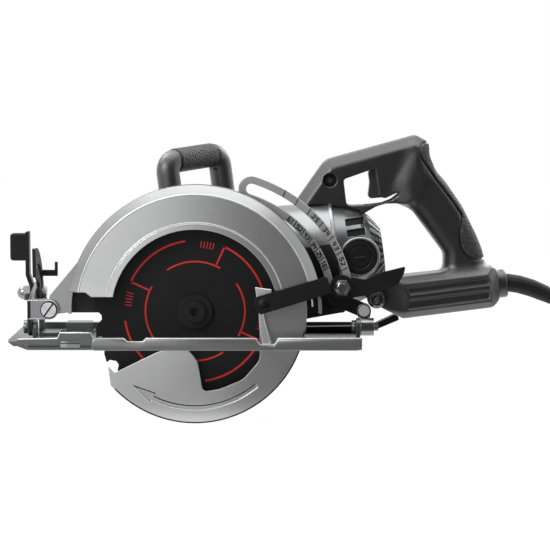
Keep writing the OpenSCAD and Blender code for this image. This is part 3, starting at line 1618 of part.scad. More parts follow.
module cord_tie() {
    r = coil_out_r + cord_d / 2 + gap;
    low = coil_in_r - cord_d / 2 - gap;
    high = coil_low + coil_step + cord_d / 2 + gap;
    color("#101011") translate([coil_centre[0], coil_centre[1], 0]) rotate([0, 0, tie_angle])
        plate_y(-tie_w / 2, tie_w / 2) difference() {
            translate([low - tie_t, floor_z]) square([r - low + 2 * tie_t, high + tie_t - floor_z]);
            translate([low, floor_z - cut]) square([r - low, high - floor_z + cut]);
        }
}

plug_form = [
    [0, 0], [boot_tip_r, 0], [boot_tip_r + cut, plug_l / 3], [plug_r, plug_l / 2], [plug_r, plug_l], [0, plug_l]
];
module turned(points) {
    rotate_extrude() polygon(points);
}

module plug() {
    end = plug_at;
    color("#1c1c1d") translate([end[0], end[1] + gap, end[2]]) rotate([-90, 0, 0]) turned(plug_form);
}

module plug_blades() {
    end = plug_at;
    color("#c8a850") for (s = [-1, 1])
        translate([end[0] + s * plug_blade_gap / 2 - plug_blade_t / 2, end[1] + gap + plug_l, end[2] - plug_blade_w / 2])
            cube([plug_blade_t, plug_blade_l, plug_blade_w]);
}

upper_guard();
gear_housing();
gear_cover();
oil_plug();
worm_cap();
motor_housing();
brush_housing();
motor_cowl();
field_core();
field_windings();
brush_holders();
carbon_brushes();
brush_springs();
brush_caps();
arbor_bearings();
armature_bearings();
arbor_seal();
guard_spring();
handle_left();
handle_right();
grip_pad();
switch_module();
front_handle();
guard_screws();
handle_screws();
depth_stud();
cord_boot();
cord_lead();
cord_coil();
cord_tie();
plug();
plug_blades();
armature_shaft();
armature_core();
commutator();
fan();
worm();
arbor_shaft();
worm_wheel();
inner_flange();
blade();
blade_washer();
blade_bolt();
lower_guard();
lift_lever();
lever_rivets();
guard_ring();
trigger();
trigger_pin();
depth_lever();
depth_nut();
front_bracket();
pivot_screw();
rear_hinge();
depth_bracket();
bracket_pin();
shoe();
bevel_parts();
wrench();
bevel_lever();
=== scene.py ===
import math
import bpy
import bmesh
import numpy as np
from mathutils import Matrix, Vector, geometry


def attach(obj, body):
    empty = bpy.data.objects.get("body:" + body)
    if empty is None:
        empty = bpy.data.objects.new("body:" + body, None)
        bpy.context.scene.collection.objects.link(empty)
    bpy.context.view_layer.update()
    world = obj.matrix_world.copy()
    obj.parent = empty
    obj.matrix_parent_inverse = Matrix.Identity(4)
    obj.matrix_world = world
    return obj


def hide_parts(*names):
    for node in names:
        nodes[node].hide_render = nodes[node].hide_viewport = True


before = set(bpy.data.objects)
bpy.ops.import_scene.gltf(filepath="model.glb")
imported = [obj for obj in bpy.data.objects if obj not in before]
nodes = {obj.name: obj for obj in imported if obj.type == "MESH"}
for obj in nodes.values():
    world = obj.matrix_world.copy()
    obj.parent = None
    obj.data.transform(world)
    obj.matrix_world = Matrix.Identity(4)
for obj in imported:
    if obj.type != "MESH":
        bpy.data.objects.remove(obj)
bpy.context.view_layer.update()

scene = bpy.context.scene


# Frames: pieces are given in millimetres, in the shared frame or in the tilted motor's own

MM = 0.001
ARBOR_Z = 31.0
FLOOR_Z = -69.0
MOTOR_Y = 68.5
MOTOR_RISE = 27.5169
MOTOR_TILT = math.radians(7.5)


def at(x, y, z):
    """Shared frame in millimetres to metres."""
    return Vector((x, y, z)) * MM


def upright(a, b, t):
    """Flat piece that stands upright along the saw, at depth t."""
    return at(a, t, b)


def motor(u, v, w):
    """Motor frame in millimetres to the shared frame in metres."""
    c = math.cos(MOTOR_TILT)
    s = math.sin(MOTOR_TILT)
    rise = w + MOTOR_RISE
    return Vector(((u * c - rise * s) * MM, (v + MOTOR_Y) * MM, (ARBOR_Z + u * s + rise * c) * MM))


# Material helpers

MIX_FACTOR, MIX_A, MIX_B, MIX_RESULT = 0, 6, 7, 2  # sockets of a colour mix node
METAL_DRIFT, METAL_WORN_HIGHLIGHT, METAL_GRAIN_DEEP = 22.0, (0.52, 0.6), 0.0003
EDGE_HIGHLIGHT_TURN = (0.02, 0.16)
PLASTIC_DRIFT, PLASTIC_WORN_HIGHLIGHT, PLASTIC_GRIT = 30.0, (0.53, 0.62), (-0.06, 0.08)
PLASTIC_FINE, FINE_SHARE = 0.7, 0.6  # scale and height of the fine noise beside the grain's
WORN_HIGHLIGHT_SHARE = 0.25
BLACK, WHITE = (0.0, 0.0, 0.0), (1.0, 1.0, 1.0)


def grey(level):
    return (level, level, level)


def lighter(color, gain, lift=0.0):
    return tuple(min(1.0, c * gain + lift) for c in color)


def new_material(name):
    m = bpy.data.materials.new(name)
    m.use_nodes = True
    t = m.node_tree
    return m, t, next(n for n in t.nodes if n.type == "BSDF_PRINCIPLED")


def fill(t, node, values):
    """Sets a node's inputs, or links those that are given a socket."""
    for key, value in values.items():
        if isinstance(value, bpy.types.NodeSocket):
            t.links.new(value, node.inputs[key])
        else:
            node.inputs[key].default_value = value
    return node


def shader(t, kind, values):
    return fill(t, t.nodes.new("ShaderNode" + kind), values)


def surface_input(t, output):
    return shader(t, "NewGeometry", {}).outputs[output]


def texture_coords(t, stretch=(1, 1, 1)):
    coords = shader(t, "TexCoord", {}).outputs["Object"]
    return shader(t, "Mapping", {"Vector": coords, "Scale": stretch}).outputs["Vector"]


def noise(t, vec, scale, detail=3.0, rough=0.55):
    values = {"Vector": vec, "Scale": scale, "Detail": detail, "Roughness": rough}
    return shader(t, "TexNoise", values).outputs["Fac"]


def ramp(t, fac, low, high, span=(0.3, 0.7)):
    r = shader(t, "ValToRGB", {"Fac": fac})
    for i, color in enumerate((low, high)):
        r.color_ramp.elements[i].position = span[i]
        r.color_ramp.elements[i].color = (*color, 1)
    return r.outputs["Color"]


def math_node(t, operation, a, b):
    n = shader(t, "Math", {0: a, 1: b})
    n.operation = operation
    return n.outputs[0]


def tint(t, fac, color, other):
    """Colour socket mixed with a plain colour."""
    n = t.nodes.new("ShaderNodeMix")
    n.data_type = "RGBA"
    fill(t, n, {MIX_FACTOR: fac, MIX_A: color, MIX_B: (*other, 1)})
    return n.outputs[MIX_RESULT]


# Sharp corners made lighter by pointiness: part wear, part painted highlight.
def worn_and_highlit_corners(t, span):
    return math_node(t, "MULTIPLY", ramp(t, surface_input(t, "Pointiness"), BLACK, WHITE, span), WORN_HIGHLIGHT_SHARE)


def rounded_edges(t, radius):
    b = shader(t, "Bevel", {"Radius": radius})
    b.samples = 4
    return b.outputs["Normal"]


def edge_turn(t, soft):
    """How far the rounded normal leans away from the flat one: 0 on a face, more at an edge."""
    lean = shader(t, "VectorMath", {0: soft, 1: surface_input(t, "Normal")})
    lean.operation = "DOT_PRODUCT"
    return math_node(t, "SUBTRACT", 1.0, lean.outputs["Value"])


def bump(t, height, strength, distance, normal):
    values = {"Height": height, "Strength": strength, "Distance": distance, "Normal": normal}
    return shader(t, "Bump", values).outputs["Normal"]


def metal(name, base, rough, metallic=1.0, grain=900.0, grain_bump=0.08, spread=0.05,
          stretch=(1, 1, 1), edge=0.0004, line=0.0, grit=0.06):
    """Metal with colour drift, fine grain, corners lighter as wear and painted highlight and, with line set,
    a painted highlight along its edges.
    """
    m, t, bsdf = new_material(name)
    vec = texture_coords(t, stretch)
    fine = noise(t, vec, grain, rough=0.6)
    drift = noise(t, vec, METAL_DRIFT, detail=4.0)
    color = ramp(t, drift, lighter(base, 1 - spread), lighter(base, 1 + spread))
    color = tint(t, worn_and_highlit_corners(t, METAL_WORN_HIGHLIGHT), color, lighter(base, gain=1.35, lift=0.03))
    soft = rounded_edges(t, edge)
    # Painted highlight: with line set, the colour is lighter wherever the rounded normal leans away from the
    # flat one, along every edge.
    if line:
        share = ramp(t, edge_turn(t, soft), BLACK, grey(line), EDGE_HIGHLIGHT_TURN)
        color = tint(t, share, color, lighter(base, gain=2.4, lift=0.1))
    fill(t, bsdf, {
        "Base Color": color,
        "Metallic": metallic,
        "Roughness": ramp(t, fine, grey(rough - grit), grey(rough + grit)),
        "Normal": bump(t, fine, grain_bump, METAL_GRAIN_DEEP, soft),
    })
    return m


def plastic(name, base, rough, grain=1500.0, grain_bump=0.2, spread=0.2, spec=0.3, edge=0.0004,
            distance=0.0003, coat=0.0):
    """Moulded plastic, rubber or paint with a spark eroded grain, and corners made lighter by pointiness,
    part wear and part painted highlight.
    """
    m, t, bsdf = new_material(name)
    vec = texture_coords(t)
    cells = shader(t, "TexVoronoi", {"Vector": vec, "Scale": grain}).outputs["Distance"]
    fine = noise(t, vec, grain * PLASTIC_FINE, detail=2.0)
    height = math_node(t, "ADD", cells, math_node(t, "MULTIPLY", fine, FINE_SHARE))
    drift = noise(t, vec, PLASTIC_DRIFT)
    color = ramp(t, drift, lighter(base, 1 - spread), lighter(base, 1 + spread))
    fill(t, bsdf, {
        "Base Color": tint(t, worn_and_highlit_corners(t, PLASTIC_WORN_HIGHLIGHT), color, lighter(base, gain=2.2, lift=0.02)),
        "Roughness": ramp(t, fine, *(grey(rough + k) for k in PLASTIC_GRIT)),
        "Specular IOR Level": spec,
        "Coat Weight": coat,
        "Coat Roughness": 0.35,
        "Normal": bump(t, height, grain_bump, distance, rounded_edges(t, edge)),
    })
    return m


# Metals: colour, roughness, metallic share, grain to the metre, its bump, and the colour's spread

ROLLED = (0.15, 1, 1)
# Cast, guard, lower guard, shoe and polished bracket metals get a painted edge highlight from line.
CAST_METAL_AND_SHADE = metal("cast_metal", (0.22, 0.223, 0.227), 0.34, 0.9, edge=0.001, line=0.4)
GUARD = metal("guard_metal", (0.58, 0.582, 0.585), 0.29, 0.9, 1100.0, 0.02, 0.03, edge=0.0009, line=0.5,
              grit=0.015)
# Darker copy of the guard metal: painted shade on the guard's rim and ear and on the lower guard's far side.
GUARD_PAINTED_SHADE = metal("guard_rim_metal", (0.33, 0.332, 0.335), 0.29, 0.9, 1100.0, 0.02, 0.03, edge=0.0009, grit=0.015)
# Polished metal for the bracket pin, and painted highlight on the bright edge lines, the guard tab and the
# lip.
POLISH_AND_HIGHLIGHT = metal("edge_polish", (0.86, 0.86, 0.865), 0.25, 0.6, 300.0, 0.004, 0.02, grit=0.02)
# Near black for painted shade inside the upper guard.
GUARD_INSIDE_SHADE = metal("guard_inside", (0.035, 0.035, 0.036), 0.55, 0.6, grain_bump=0.1, spread=0.1)
LOWER = metal("lower_guard_metal", (0.62, 0.622, 0.625), 0.32, 0.92, grain_bump=0.02, spread=0.04,
              edge=0.0012, line=1.0, grit=0.02)
BARREL = metal("barrel_metal", (0.30, 0.303, 0.307), 0.32, 0.9, 800.0, spread=0.06, edge=0.0008)
SHOE = metal("shoe_metal", (0.135, 0.137, 0.14), 0.30, 0.92, 600.0, 0.06, 0.07, ROLLED, 0.0011, 1.0)
RAIL = metal("rail_metal", (0.25, 0.252, 0.255), 0.30, 0.6, 600.0, 0.02, 0.05, ROLLED, 0.0008, grit=0.02)
POLISHED = metal("polished_bracket", (0.23, 0.23, 0.235), 0.22, grain=500.0, grain_bump=0.015, edge=0.001,
                 line=1.0)
ZINC = metal("zinc_steel", grey(0.36), 0.28, spread=0.08, edge=0.0008)
CHROME = metal("chrome_steel", (0.33, 0.33, 0.34), 0.14, 0.95, 300.0, 0.02, 0.02)
BRACKET = metal("bracket_zinc", grey(0.50), 0.38, 0.55)
STEEL = metal("bright_steel", (0.55, 0.55, 0.56), 0.25, grain_bump=0.06)
DARK_STEEL = metal("lamination_steel", (0.22, 0.22, 0.23), 0.45, 1.0, 1200.0, 0.2, 0.1, (20, 1, 1))
COPPER = metal("copper_wire", (0.72, 0.36, 0.18), 0.35, 1.0, 1200.0, 0.3, 0.12, (30, 1, 1))
BRONZE = metal("gear_bronze", (0.62, 0.45, 0.2), 0.3, grain=800.0, spread=0.08)
BRASS = metal("plug_brass", (0.7, 0.55, 0.25), 0.25, grain_bump=0.06)


# Plastic, rubber, paint and print: colour, roughness, grain to the metre, its bump, spread and gloss

# Black steel, and also painted shade on the depth bracket's lower part and eye.
BLACK_STEEL_AND_SHADE = plastic("black_steel", (0.006, 0.006, 0.0065), 0.42, 1800.0, 0.12, spec=0.25, edge=0.0006)
BLADE = plastic("blade_coating", (0.006, 0.006, 0.0065), 0.5, 2200.0, 0.1, spec=0.2, edge=0.0001)
HANDLE = plastic("handle_plastic", (0.010, 0.0097, 0.0097), 0.37, 1300.0, 0.3, 0.15, 0.95, 0.0006, coat=0.6)
GRIP = plastic("grip_rubber", grey(0.02), 0.45, 620.0, 1.0, 0.3, 0.7, 0.0005, 0.0008)
COWL = plastic("cowl_plastic", (0.008, 0.008, 0.0085), 0.42)
RUBBER = plastic("cord_rubber", grey(0.012), 0.5, 1700.0, spec=0.35, edge=0.0003)
# Black print, and also painted shade on dark lines, slots, the vent liner and shaded faces.
INK_AND_SHADE = plastic("black_print", grey(0.012), 0.6, grain_bump=0.1, spread=0.1, spec=0.2, edge=0.0001)
CARBON = plastic("carbon_brush", grey(0.03), 0.6, grain_bump=0.3, edge=0.0002)
RED = plastic("red_print", (0.60, 0.020, 0.014), 0.5, 1800.0, 0.1, 0.1, 0.35, 0.0001)


# Looks of the nodes that are shown as they are

LOOKS = {
    CAST_METAL_AND_SHADE: ["gear_housing", "gear_cover", "worm_cap", "brush_housing"],
    GUARD: ["upper_guard"],
    LOWER: ["lower_guard"],
    BARREL: ["motor_housing"],
    SHOE: ["shoe"],
    POLISHED: ["front_bracket", "rear_hinge"],
    POLISH_AND_HIGHLIGHT: ["bracket_pin"],
    ZINC: ["guard_ring", "guard_spring", "guard_screws", "trigger_pin", "oil_plug"],
    STEEL: ["pivot_screw", "arbor_bearings", "armature_bearings", "armature_shaft", "arbor_shaft", "worm",
            "inner_flange", "brush_springs"],
    DARK_STEEL: ["armature_core", "field_core"],
    COPPER: ["commutator", "field_windings"],
    BRONZE: ["worm_wheel"],
    BRASS: ["plug_blades"],
    BLADE: ["blade"],
    BLACK_STEEL_AND_SHADE: ["blade_washer", "blade_bolt", "lift_lever", "lever_rivets", "depth_lever"],
    HANDLE: ["trigger"],
    COWL: ["motor_cowl", "switch_module", "fan", "brush_holders"],
    RUBBER: ["cord_boot", "cord_tie", "plug", "arbor_seal"],
    CARBON: ["carbon_brushes"],
}


def dress_nodes():
    for material, names in LOOKS.items():
        for name in names:
            nodes[name].data.materials.clear()
            nodes[name].data.materials.append(material)


# Mesh helpers

PRINT_DEPTH = 0.00006
MITRE_LIMIT = 0.5


def add_object(name, data, material):
    o = bpy.data.objects.new(name, data)
    scene.collection.objects.link(o)
    data.materials.append(material)
    return o


def shade_smooth(mesh):
    for p in mesh.polygons:
        p.use_smooth = True


def mesh_object(name, bm, material, smooth=True):
    mesh = bpy.data.meshes.new(name)
    bmesh.ops.recalc_face_normals(bm, faces=bm.faces[:])
    bm.to_mesh(mesh)
    bm.free()
    if smooth:
        shade_smooth(mesh)
    return add_object(name, mesh, material)


def settle(o, body, slot, *replaced):
    """Puts a piece on its body, in place of the nodes that it stands for; the slot is not used."""
    if replaced:
        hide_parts(*replaced)
    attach(o, body)


def paint(o, material, chosen):
    """Gives a material to the faces that chosen(centre, normal) picks, both in the shared frame."""
    o.data.materials.append(material)
    turn = o.matrix_world.to_3x3()
    for p in o.data.polygons:
        if chosen(o.matrix_world @ p.center, turn @ p.normal):
            p.material_index = len(o.data.materials) - 1


def skin(bm, loops, closed=False):
    """Faces over loops of points of one count, with caps unless the last loop meets the first."""
    rings = [[bm.verts.new(p) for p in loop] for loop in loops]
    n = len(rings[0])
    for a, b in zip(rings, rings[1:] + rings[:1] if closed else rings[1:]):
        for i in range(n):
            j = (i + 1) % n
            bm.faces.new((a[i], a[j], b[j], b[i]))
    if not closed:
        bm.faces.new(rings[0][::-1])
        bm.faces.new(rings[-1])


def loft(name, loops, material, closed=False, angle=0.6):
    """Piece over loops of points, smooth but for the edges that turn by more than the angle."""
    bm = bmesh.new()
    skin(bm, loops, closed)
    o = mesh_object(name, bm, material)
    o.data.set_sharp_from_angle(angle=angle)
    return o


def lathe(name, place, profile, material, sides=40, ring=False):
    """Solid of revolution from (radius, height) pairs, put in place by place(a, b, height)."""
    turns = [2 * math.pi * i / sides for i in range(sides)]
    loops = [[place(r * math.cos(k), r * math.sin(k), h) for k in turns] for r, h in profile]
    return loft(name, loops, material, closed=ring)


def inset(points, d):
    """Outline moved inward by d along the mitre of each corner."""
    n = len(points)
    area = sum(points[i - 1][0] * points[i][1] - points[i][0] * points[i - 1][1] for i in range(n))
    out = []
    for i in range(n):
        p, a, b = (Vector(points[k][:2]) for k in (i, i - 1, (i + 1) % n))
        e, f = (p - a).normalized(), (b - p).normalized()
        m = Vector((-(e.y + f.y), e.x + f.x))
        out.append(p + m * (math.copysign(2 * d, area) / max(m.length_squared, MITRE_LIMIT)))
    return out


def prism(name, outline, t0, t1, place, material, edge=0.4):
    """Flat piece with chamfered edges: place(a, b, t) puts outline point (a, b) at depth t."""
    inner = inset(outline, edge)
    steps = ((inner, t0), (outline, t0 + edge), (outline, t1 - edge), (inner, t1))
    return loft(name, [[place(p[0], p[1], t) for p in points] for points, t in steps], material)


def capsule(a, b, r, n=10):
    """Outline round two points."""
    k = math.atan2(b[1] - a[1], b[0] - a[0])
    turns = [k + math.pi / 2 + math.pi * i / n for i in range(n + 1)]
    near = [(a[0] + r * math.cos(t), a[1] + r * math.sin(t)) for t in turns]
    return near + [(b[0] - r * math.cos(t), b[1] - r * math.sin(t)) for t in turns]


def guard_arc(r, a, b, n=64):
    """Points round the arbor, from angle a to angle b."""
    turns = [math.radians(a + (b - a) * i / n) for i in range(n + 1)]
    return [(r * math.cos(k), ARBOR_Z + r * math.sin(k)) for k in turns]


def bead(name, points, y, r, material, body, slot):
    """Fine rounded bead along points of one upright plane."""
    turns = [math.pi * k / 4 for k in range(8)]
    loops = []
    for i, (x, z) in enumerate(points):
        a, b = points[max(i - 1, 0)], points[min(i + 1, len(points) - 1)]
        t = Vector((b[0] - a[0], b[1] - a[1])).normalized()
        loops.append([at(x - t.y * r * math.cos(k), y - r * math.sin(k), z + t.x * r * math.cos(k))
                      for k in turns])
    settle(loft(name, loops, material, angle=1.2), body, slot)


def print_plates(name, outlines, material):
    """Closed plates of a print's thickness from flat outlines."""
    bm = bmesh.new()
    for points in outlines:
        depth = geometry.normal(points) * PRINT_DEPTH
        skin(bm, [points, [p - depth for p in points]])
    return mesh_object(name, bm, material, False)


def strokes(name, lines, width, place, material):
    """Printed lines: each a pair of points in a flat frame, drawn as a thin bar."""
    outlines = []
    for a, b in lines:
        a, b = Vector(a), Vector(b)
        d = (b - a).normalized() * (width / 2)
        s = Vector((-d.y, d.x))
        outlines.append([place(q.x, q.y) for q in (a - d - s, b + d - s, b + d + s, a - d + s)])
    return print_plates(name, outlines, material)


# Implicit solids: a field that is negative inside, meshed on an even grid

STRAIGHT = 1.55  # half a corner's angle, from which it counts as straight
CORNER_SHARE = 0.48  # most of a side that a rounded corner takes


def rounded_outline(points, steps=6):
    """Corner points (x, y, radius) to an outline with its corners rounded."""
    out = []
    n = len(points)
    for i in range(n):
        p, a, b = (Vector(points[k][:2]) for k in (i, i - 1, (i + 1) % n))
        r = points[i][2]
        da, db = (a - p).normalized(), (b - p).normalized()
        half = math.acos(max(-1.0, min(1.0, da.dot(db)))) / 2
        if r <= 0 or half > STRAIGHT:
            out.append(p)
            continue
        reach = min(r / math.tan(half), CORNER_SHARE * (a - p).length, CORNER_SHARE * (b - p).length)
        r = reach * math.tan(half)
        centre = p + (da + db).normalized() * (r / math.sin(half))
        s, e = p + da * reach - centre, p + db * reach - centre
        turn = math.atan2(s.x * e.y - s.y * e.x, s.dot(e))
        for k in range(steps + 1):
            c, q = math.cos(turn * k / steps), math.sin(turn * k / steps)
            out.append(centre + Vector((s.x * c - s.y * q, s.x * q + s.y * c)))
    return out


def outline_distance(x, y, outline):
    """Distance to a closed outline, negative inside it."""
    best = np.full(x.shape, 1e9)
    inside = np.zeros(x.shape, bool)
    for i, a in enumerate(outline):
        b = outline[(i + 1) % len(outline)]
        ex, ey = b[0] - a[0], b[1] - a[1]
        t = np.clip(((x - a[0]) * ex + (y - a[1]) * ey) / max(ex * ex + ey * ey, 1e-9), 0, 1)
        best = np.minimum(best, (x - a[0] - t * ex) ** 2 + (y - a[1] - t * ey) ** 2)
        if abs(ey) > 1e-9:
            inside ^= ((a[1] > y) != (b[1] > y)) & (x < ex * (y - a[1]) / ey + a[0])
    return np.where(inside, -1, 1) * np.sqrt(best)


def segment_distance(p, a, b):
    """Distance from grid points to a straight line between two points."""
    e = [q - o for o, q in zip(a, b)]
    t = np.clip(sum((x - o) * k for x, o, k in zip(p, a, e)) / sum(k * k for k in e), 0, 1)
    return np.sqrt(sum((x - o - t * k) ** 2 for x, o, k in zip(p, a, e)))


def smooth_max(a, b, k):
    h = np.clip(0.5 + 0.5 * (a - b) / k, 0, 1)
    return b + (a - b) * h + k * h * (1 - h)


def smooth_min(a, b, k):
    return -smooth_max(-a, -b, k)


def rounded_slab(d, v, half, r):
    """Slab of half the thickness over an outline distance, its edges rounded."""
    a, b = d + r, np.abs(v) - half + r
    return np.hypot(np.maximum(a, 0), np.maximum(b, 0)) + np.minimum(np.maximum(a, b), 0) - r


def sloped_edge(d, side, half, wide, deep):
    """Bevel from deep below the side face, at the outline, to the face itself, wide inside the outline."""
    return (d * deep + (side - half + deep) * wide) / math.hypot(wide, deep)


def overmould(body, area, proud, groove_half, groove_deep, groove_round):
    """Body with a groove round an area, and the field of the rubber skin over that area."""
    groove = np.maximum(np.abs(area) - groove_half, -(body + groove_deep))
    skin = np.maximum(np.maximum(body - proud, -(body + SKIN_DEEP)), area + proud)
    return smooth_max(body, -groove, groove_round), skin


def grid(lo, hi, step):
    return np.meshgrid(*(np.arange(a, b + step, step) for a, b in zip(lo, hi)), indexing="ij")


def crossing_points(field, corners, cells):
    """One point in each crossed cell: the mean of where its edges cross zero."""
    total, hits = np.zeros((len(cells), 3)), np.zeros(len(cells))
    for a in corners:
        for axis in range(3):
            if a[axis]:
                continue
            ahead = np.eye(3, dtype=int)[axis]
            fa, fb = field[tuple((cells + a).T)], field[tuple((cells + a + ahead).T)]
            hit = (fa < 0) != (fb < 0)
            t = np.where(hit, fa / np.where(hit, fa - fb, 1), 0)
            total += hit[:, None] * (a + t[:, None] * ahead)
            hits += hit
    return cells + total / hits[:, None]


def crossing_faces(inside, index, count):
    """A quad round each grid edge that goes through the surface."""
    faces = []
    for axis in range(3):
        second, third = (axis + 1) % 3, (axis + 2) % 3
        eb, ec = np.eye(3, dtype=int)[second], np.eye(3, dtype=int)[third]
        change = np.diff(inside.astype(np.int8), axis=axis)
        cells = np.argwhere(change != 0)
        b, c = cells @ eb, cells @ ec
        cells = cells[(b > 0) & (c > 0) & (b < count[second]) & (c < count[third])]
        quad = np.stack([index[tuple((cells - o).T)] for o in (0 * eb, eb, eb + ec, ec)], 1)
        flip = change[tuple(cells.T)] > 0
        quad[flip] = quad[flip][:, ::-1]
        faces += quad.tolist()
    return faces


def surface(name, field, lo, step, place, material, keep):
    """Smooth mesh of where the field is zero, thinned to a share of its faces."""
    inside = field < 0
    count = [n - 1 for n in field.shape]
    corners = [np.array((i, j, k)) for i in (0, 1) for j in (0, 1) for k in (0, 1)]
    filled = sum(inside[tuple(slice(o, o + n) for o, n in zip(c, count))].astype(np.int8) for c in corners)
    mixed = (filled > 0) & (filled < len(corners))
    index = np.full(mixed.shape, -1)
    index[mixed] = np.arange(mixed.sum())
    points = crossing_points(field, corners, np.argwhere(mixed)) * step + np.array(lo)
    mesh = bpy.data.meshes.new(name)
    mesh.from_pydata([place(*p) for p in points.tolist()], [], crossing_faces(inside, index, count))
    mesh.update()
    o = add_object(name, mesh, material)
    smooth = o.modifiers.new("smooth", "SMOOTH")
    smooth.iterations = 2
    smooth.factor = 0.5
    o.modifiers.new("decimate", "DECIMATE").ratio = keep
    result = o.evaluated_get(bpy.context.evaluated_depsgraph_get())
    o.data = bpy.data.meshes.new_from_object(result)
    o.modifiers.clear()
    bpy.data.meshes.remove(mesh)
    shade_smooth(o.data)
    return o


# Cord: the same route as the solid

LEAD_START = Vector((333, 68.5, 34.4))
LEAD_WAY = Vector((0.878, 0, -0.479))
LEAD_PULLS = (50.0, 71.0)
LEAD_STEPS = 14
CORD_D = 9.3
CORD_FINE = 3
COIL_MIDDLE = (430.0, -3.0)
COIL_D = 110.0
COIL_TURNS = 3
COIL_STEPS = 24
COIL_GAP = 1.7
COIL_PITCH = CORD_D + COIL_GAP
COIL_IN = COIL_D / 2 - COIL_PITCH * COIL_TURNS / 2
COIL_OUT = COIL_IN + COIL_PITCH * COIL_TURNS
COIL_LOW = FLOOR_Z + CORD_D / 2
PLUG_RUN = 40
PLUG_RISE = 13
PLUG_STEPS = 4


def spiral(i):
    """Point i of the coil: in along the floor, up for half a turn, and out again on top."""
    inward, half = COIL_TURNS * COIL_STEPS, COIL_STEPS / 2
    down = min(i, inward)
    climb = max(0, min(i - inward, half))
    out = max(0, i - inward - half)
    a = math.radians(90 - 360 * i / COIL_STEPS)
    r = COIL_OUT - COIL_PITCH * down / COIL_STEPS + COIL_PITCH * out / COIL_STEPS
    z = COIL_LOW + COIL_PITCH * climb / half
    return (COIL_MIDDLE[0] + r * math.cos(a), COIL_MIDDLE[1] + r * math.sin(a), z)


def cord_route():
    """Drop from the boot to the floor, the coil, and the rise to the plug, in metres."""
    count = int(2 * COIL_TURNS * COIL_STEPS + 3 * COIL_STEPS / 4)
    first, end = Vector(spiral(0)), spiral(count)
    p = LEAD_START + LEAD_PULLS[0] * LEAD_WAY
    q = first - Vector((LEAD_PULLS[1], 0, 0))
    points = []
    for i in range(LEAD_STEPS):
        t = i / LEAD_STEPS
        k = 1 - t
        points.append(k ** 3 * LEAD_START + 3 * k * k * t * p + 3 * k * t * t * q + t ** 3 * first)
    points += [Vector(spiral(i)) for i in range(count + 1)]
    for i in range(1, PLUG_STEPS + 1):
        t = i / PLUG_STEPS
        ease = t * t * (3 - 2 * t)
        points.append(Vector((end[0], end[1] + PLUG_RUN * t, end[2] + (FLOOR_Z + PLUG_RISE - end[2]) * ease)))
    return [c * MM for c in points]


def smooth_path(points, n):
    """Points along a curve through the given ones."""
    last = len(points) - 1
    out = []
    for i in range(last):
        p0, p1, p2, p3 = points[max(i - 1, 0)], points[i], points[i + 1], points[min(i + 2, last)]
        for k in range(n):
            s = k / n
            out.append(0.5 * ((2 * p1) + (p2 - p0) * s + (2 * p0 - 5 * p1 + 4 * p2 - p3) * s * s
                              + (3 * p1 - p0 - 3 * p2 + p3) * s ** 3))
    out.append(points[-1])
    return out


def mains_cord():
    route = smooth_path(cord_route(), CORD_FINE)
    curve = bpy.data.curves.new("mains_cord", "CURVE")
    curve.dimensions = "3D"
    curve.bevel_depth = CORD_D / 2 * MM
    curve.bevel_resolution = 4
    curve.use_fill_caps = True
    spline = curve.splines.new("POLY")
    spline.points.add(len(route) - 1)
    for point, p in zip(spline.points, route):
        point.co = (*p, 1)
    cord = add_object("mains_cord", curve, RUBBER)
    settle(cord, "saw_body", "grip_rubber", "cord_lead", "cord_coil")


# Camera at the photograph's angle, in metres

CAMERA_AIM = Vector((0.0715, 0, 0.0634))
CAMERA_AWAY = 2.0
CAMERA_UP = math.radians(4.5)


def add_camera():
    camera = bpy.data.cameras.new("camera")
    camera.lens = 146.27
    camera.sensor_width = 36
    camera.clip_end = 50
    o = bpy.data.objects.new("camera", camera)
    scene.collection.objects.link(o)
    o.location = CAMERA_AIM + CAMERA_AWAY * Vector((0, -math.cos(CAMERA_UP), math.sin(CAMERA_UP)))
    o.rotation_euler = (CAMERA_AIM - o.location).to_track_quat("-Z", "Y").to_euler()
    scene.camera = o


# Studio: pale floor, soft lights, white surroundings and grey cards, in metres

WORLD_LEVELS = (0.3, 1.0)
FLOOR_HALF = 6.0
FLOOR_GREYS = (0.86, 0.9)
FLOOR_CLOUDS, FLOOR_GLOW_SHARE = 3.0, 0.88
LAMPS = (  # name, place, aim, size and power
    ("key", (-0.9, -0.9, 0.9), (-0.02, 0, 0.05), 0.7, 9),
    ("top", (0.2, 0.12, 1.2), (0.1, 0.05, 0.05), 1.1, 6.5),
    ("back_left", (-0.5, 0.42, 1.0), (0.1, 0.05, 0.1), 0.7, 6),
    ("rim", (0.9, 1.1, 0.8), (0.1, 0.05, 0.06), 0.8, 5),
)
CARD_GAP = 0.0005
LOW, HIGH, NEAR, FAR, END = FLOOR_Z * MM + CARD_GAP, 0.9, -0.42, -0.06, 1.4
CARDS = (  # name, level and corners
    ("dark_card_right", 0.10, ((-0.02, NEAR, LOW), (END, -0.36, LOW), (END, -0.36, HIGH), (0.0, NEAR, HIGH))),
    ("dark_card_floor", 0.14, ((0.03, FAR, LOW), (END, FAR, LOW), (END, NEAR, LOW), (0.0, NEAR, LOW))),
    ("grey_card_floor", 0.35, ((-1.0, FAR, LOW), (0.03, FAR, LOW), (0.0, NEAR, LOW), (-1.0, NEAR, LOW))),
)


def seen_directly(t):
    """1 for camera, glossy and transmission rays, and 0 for the rest."""
    path = shader(t, "LightPath", {}).outputs
    seen = math_node(t, "MAXIMUM", path["Is Camera Ray"], path["Is Glossy Ray"])
    return math_node(t, "MAXIMUM", seen, path["Is Transmission Ray"])


def mix_shaders(t, fac, first, second, out):
    mix = shader(t, "MixShader", {0: fac, 1: first.outputs[0], 2: second.outputs[0]})
    fill(t, out, {"Surface": mix.outputs[0]})


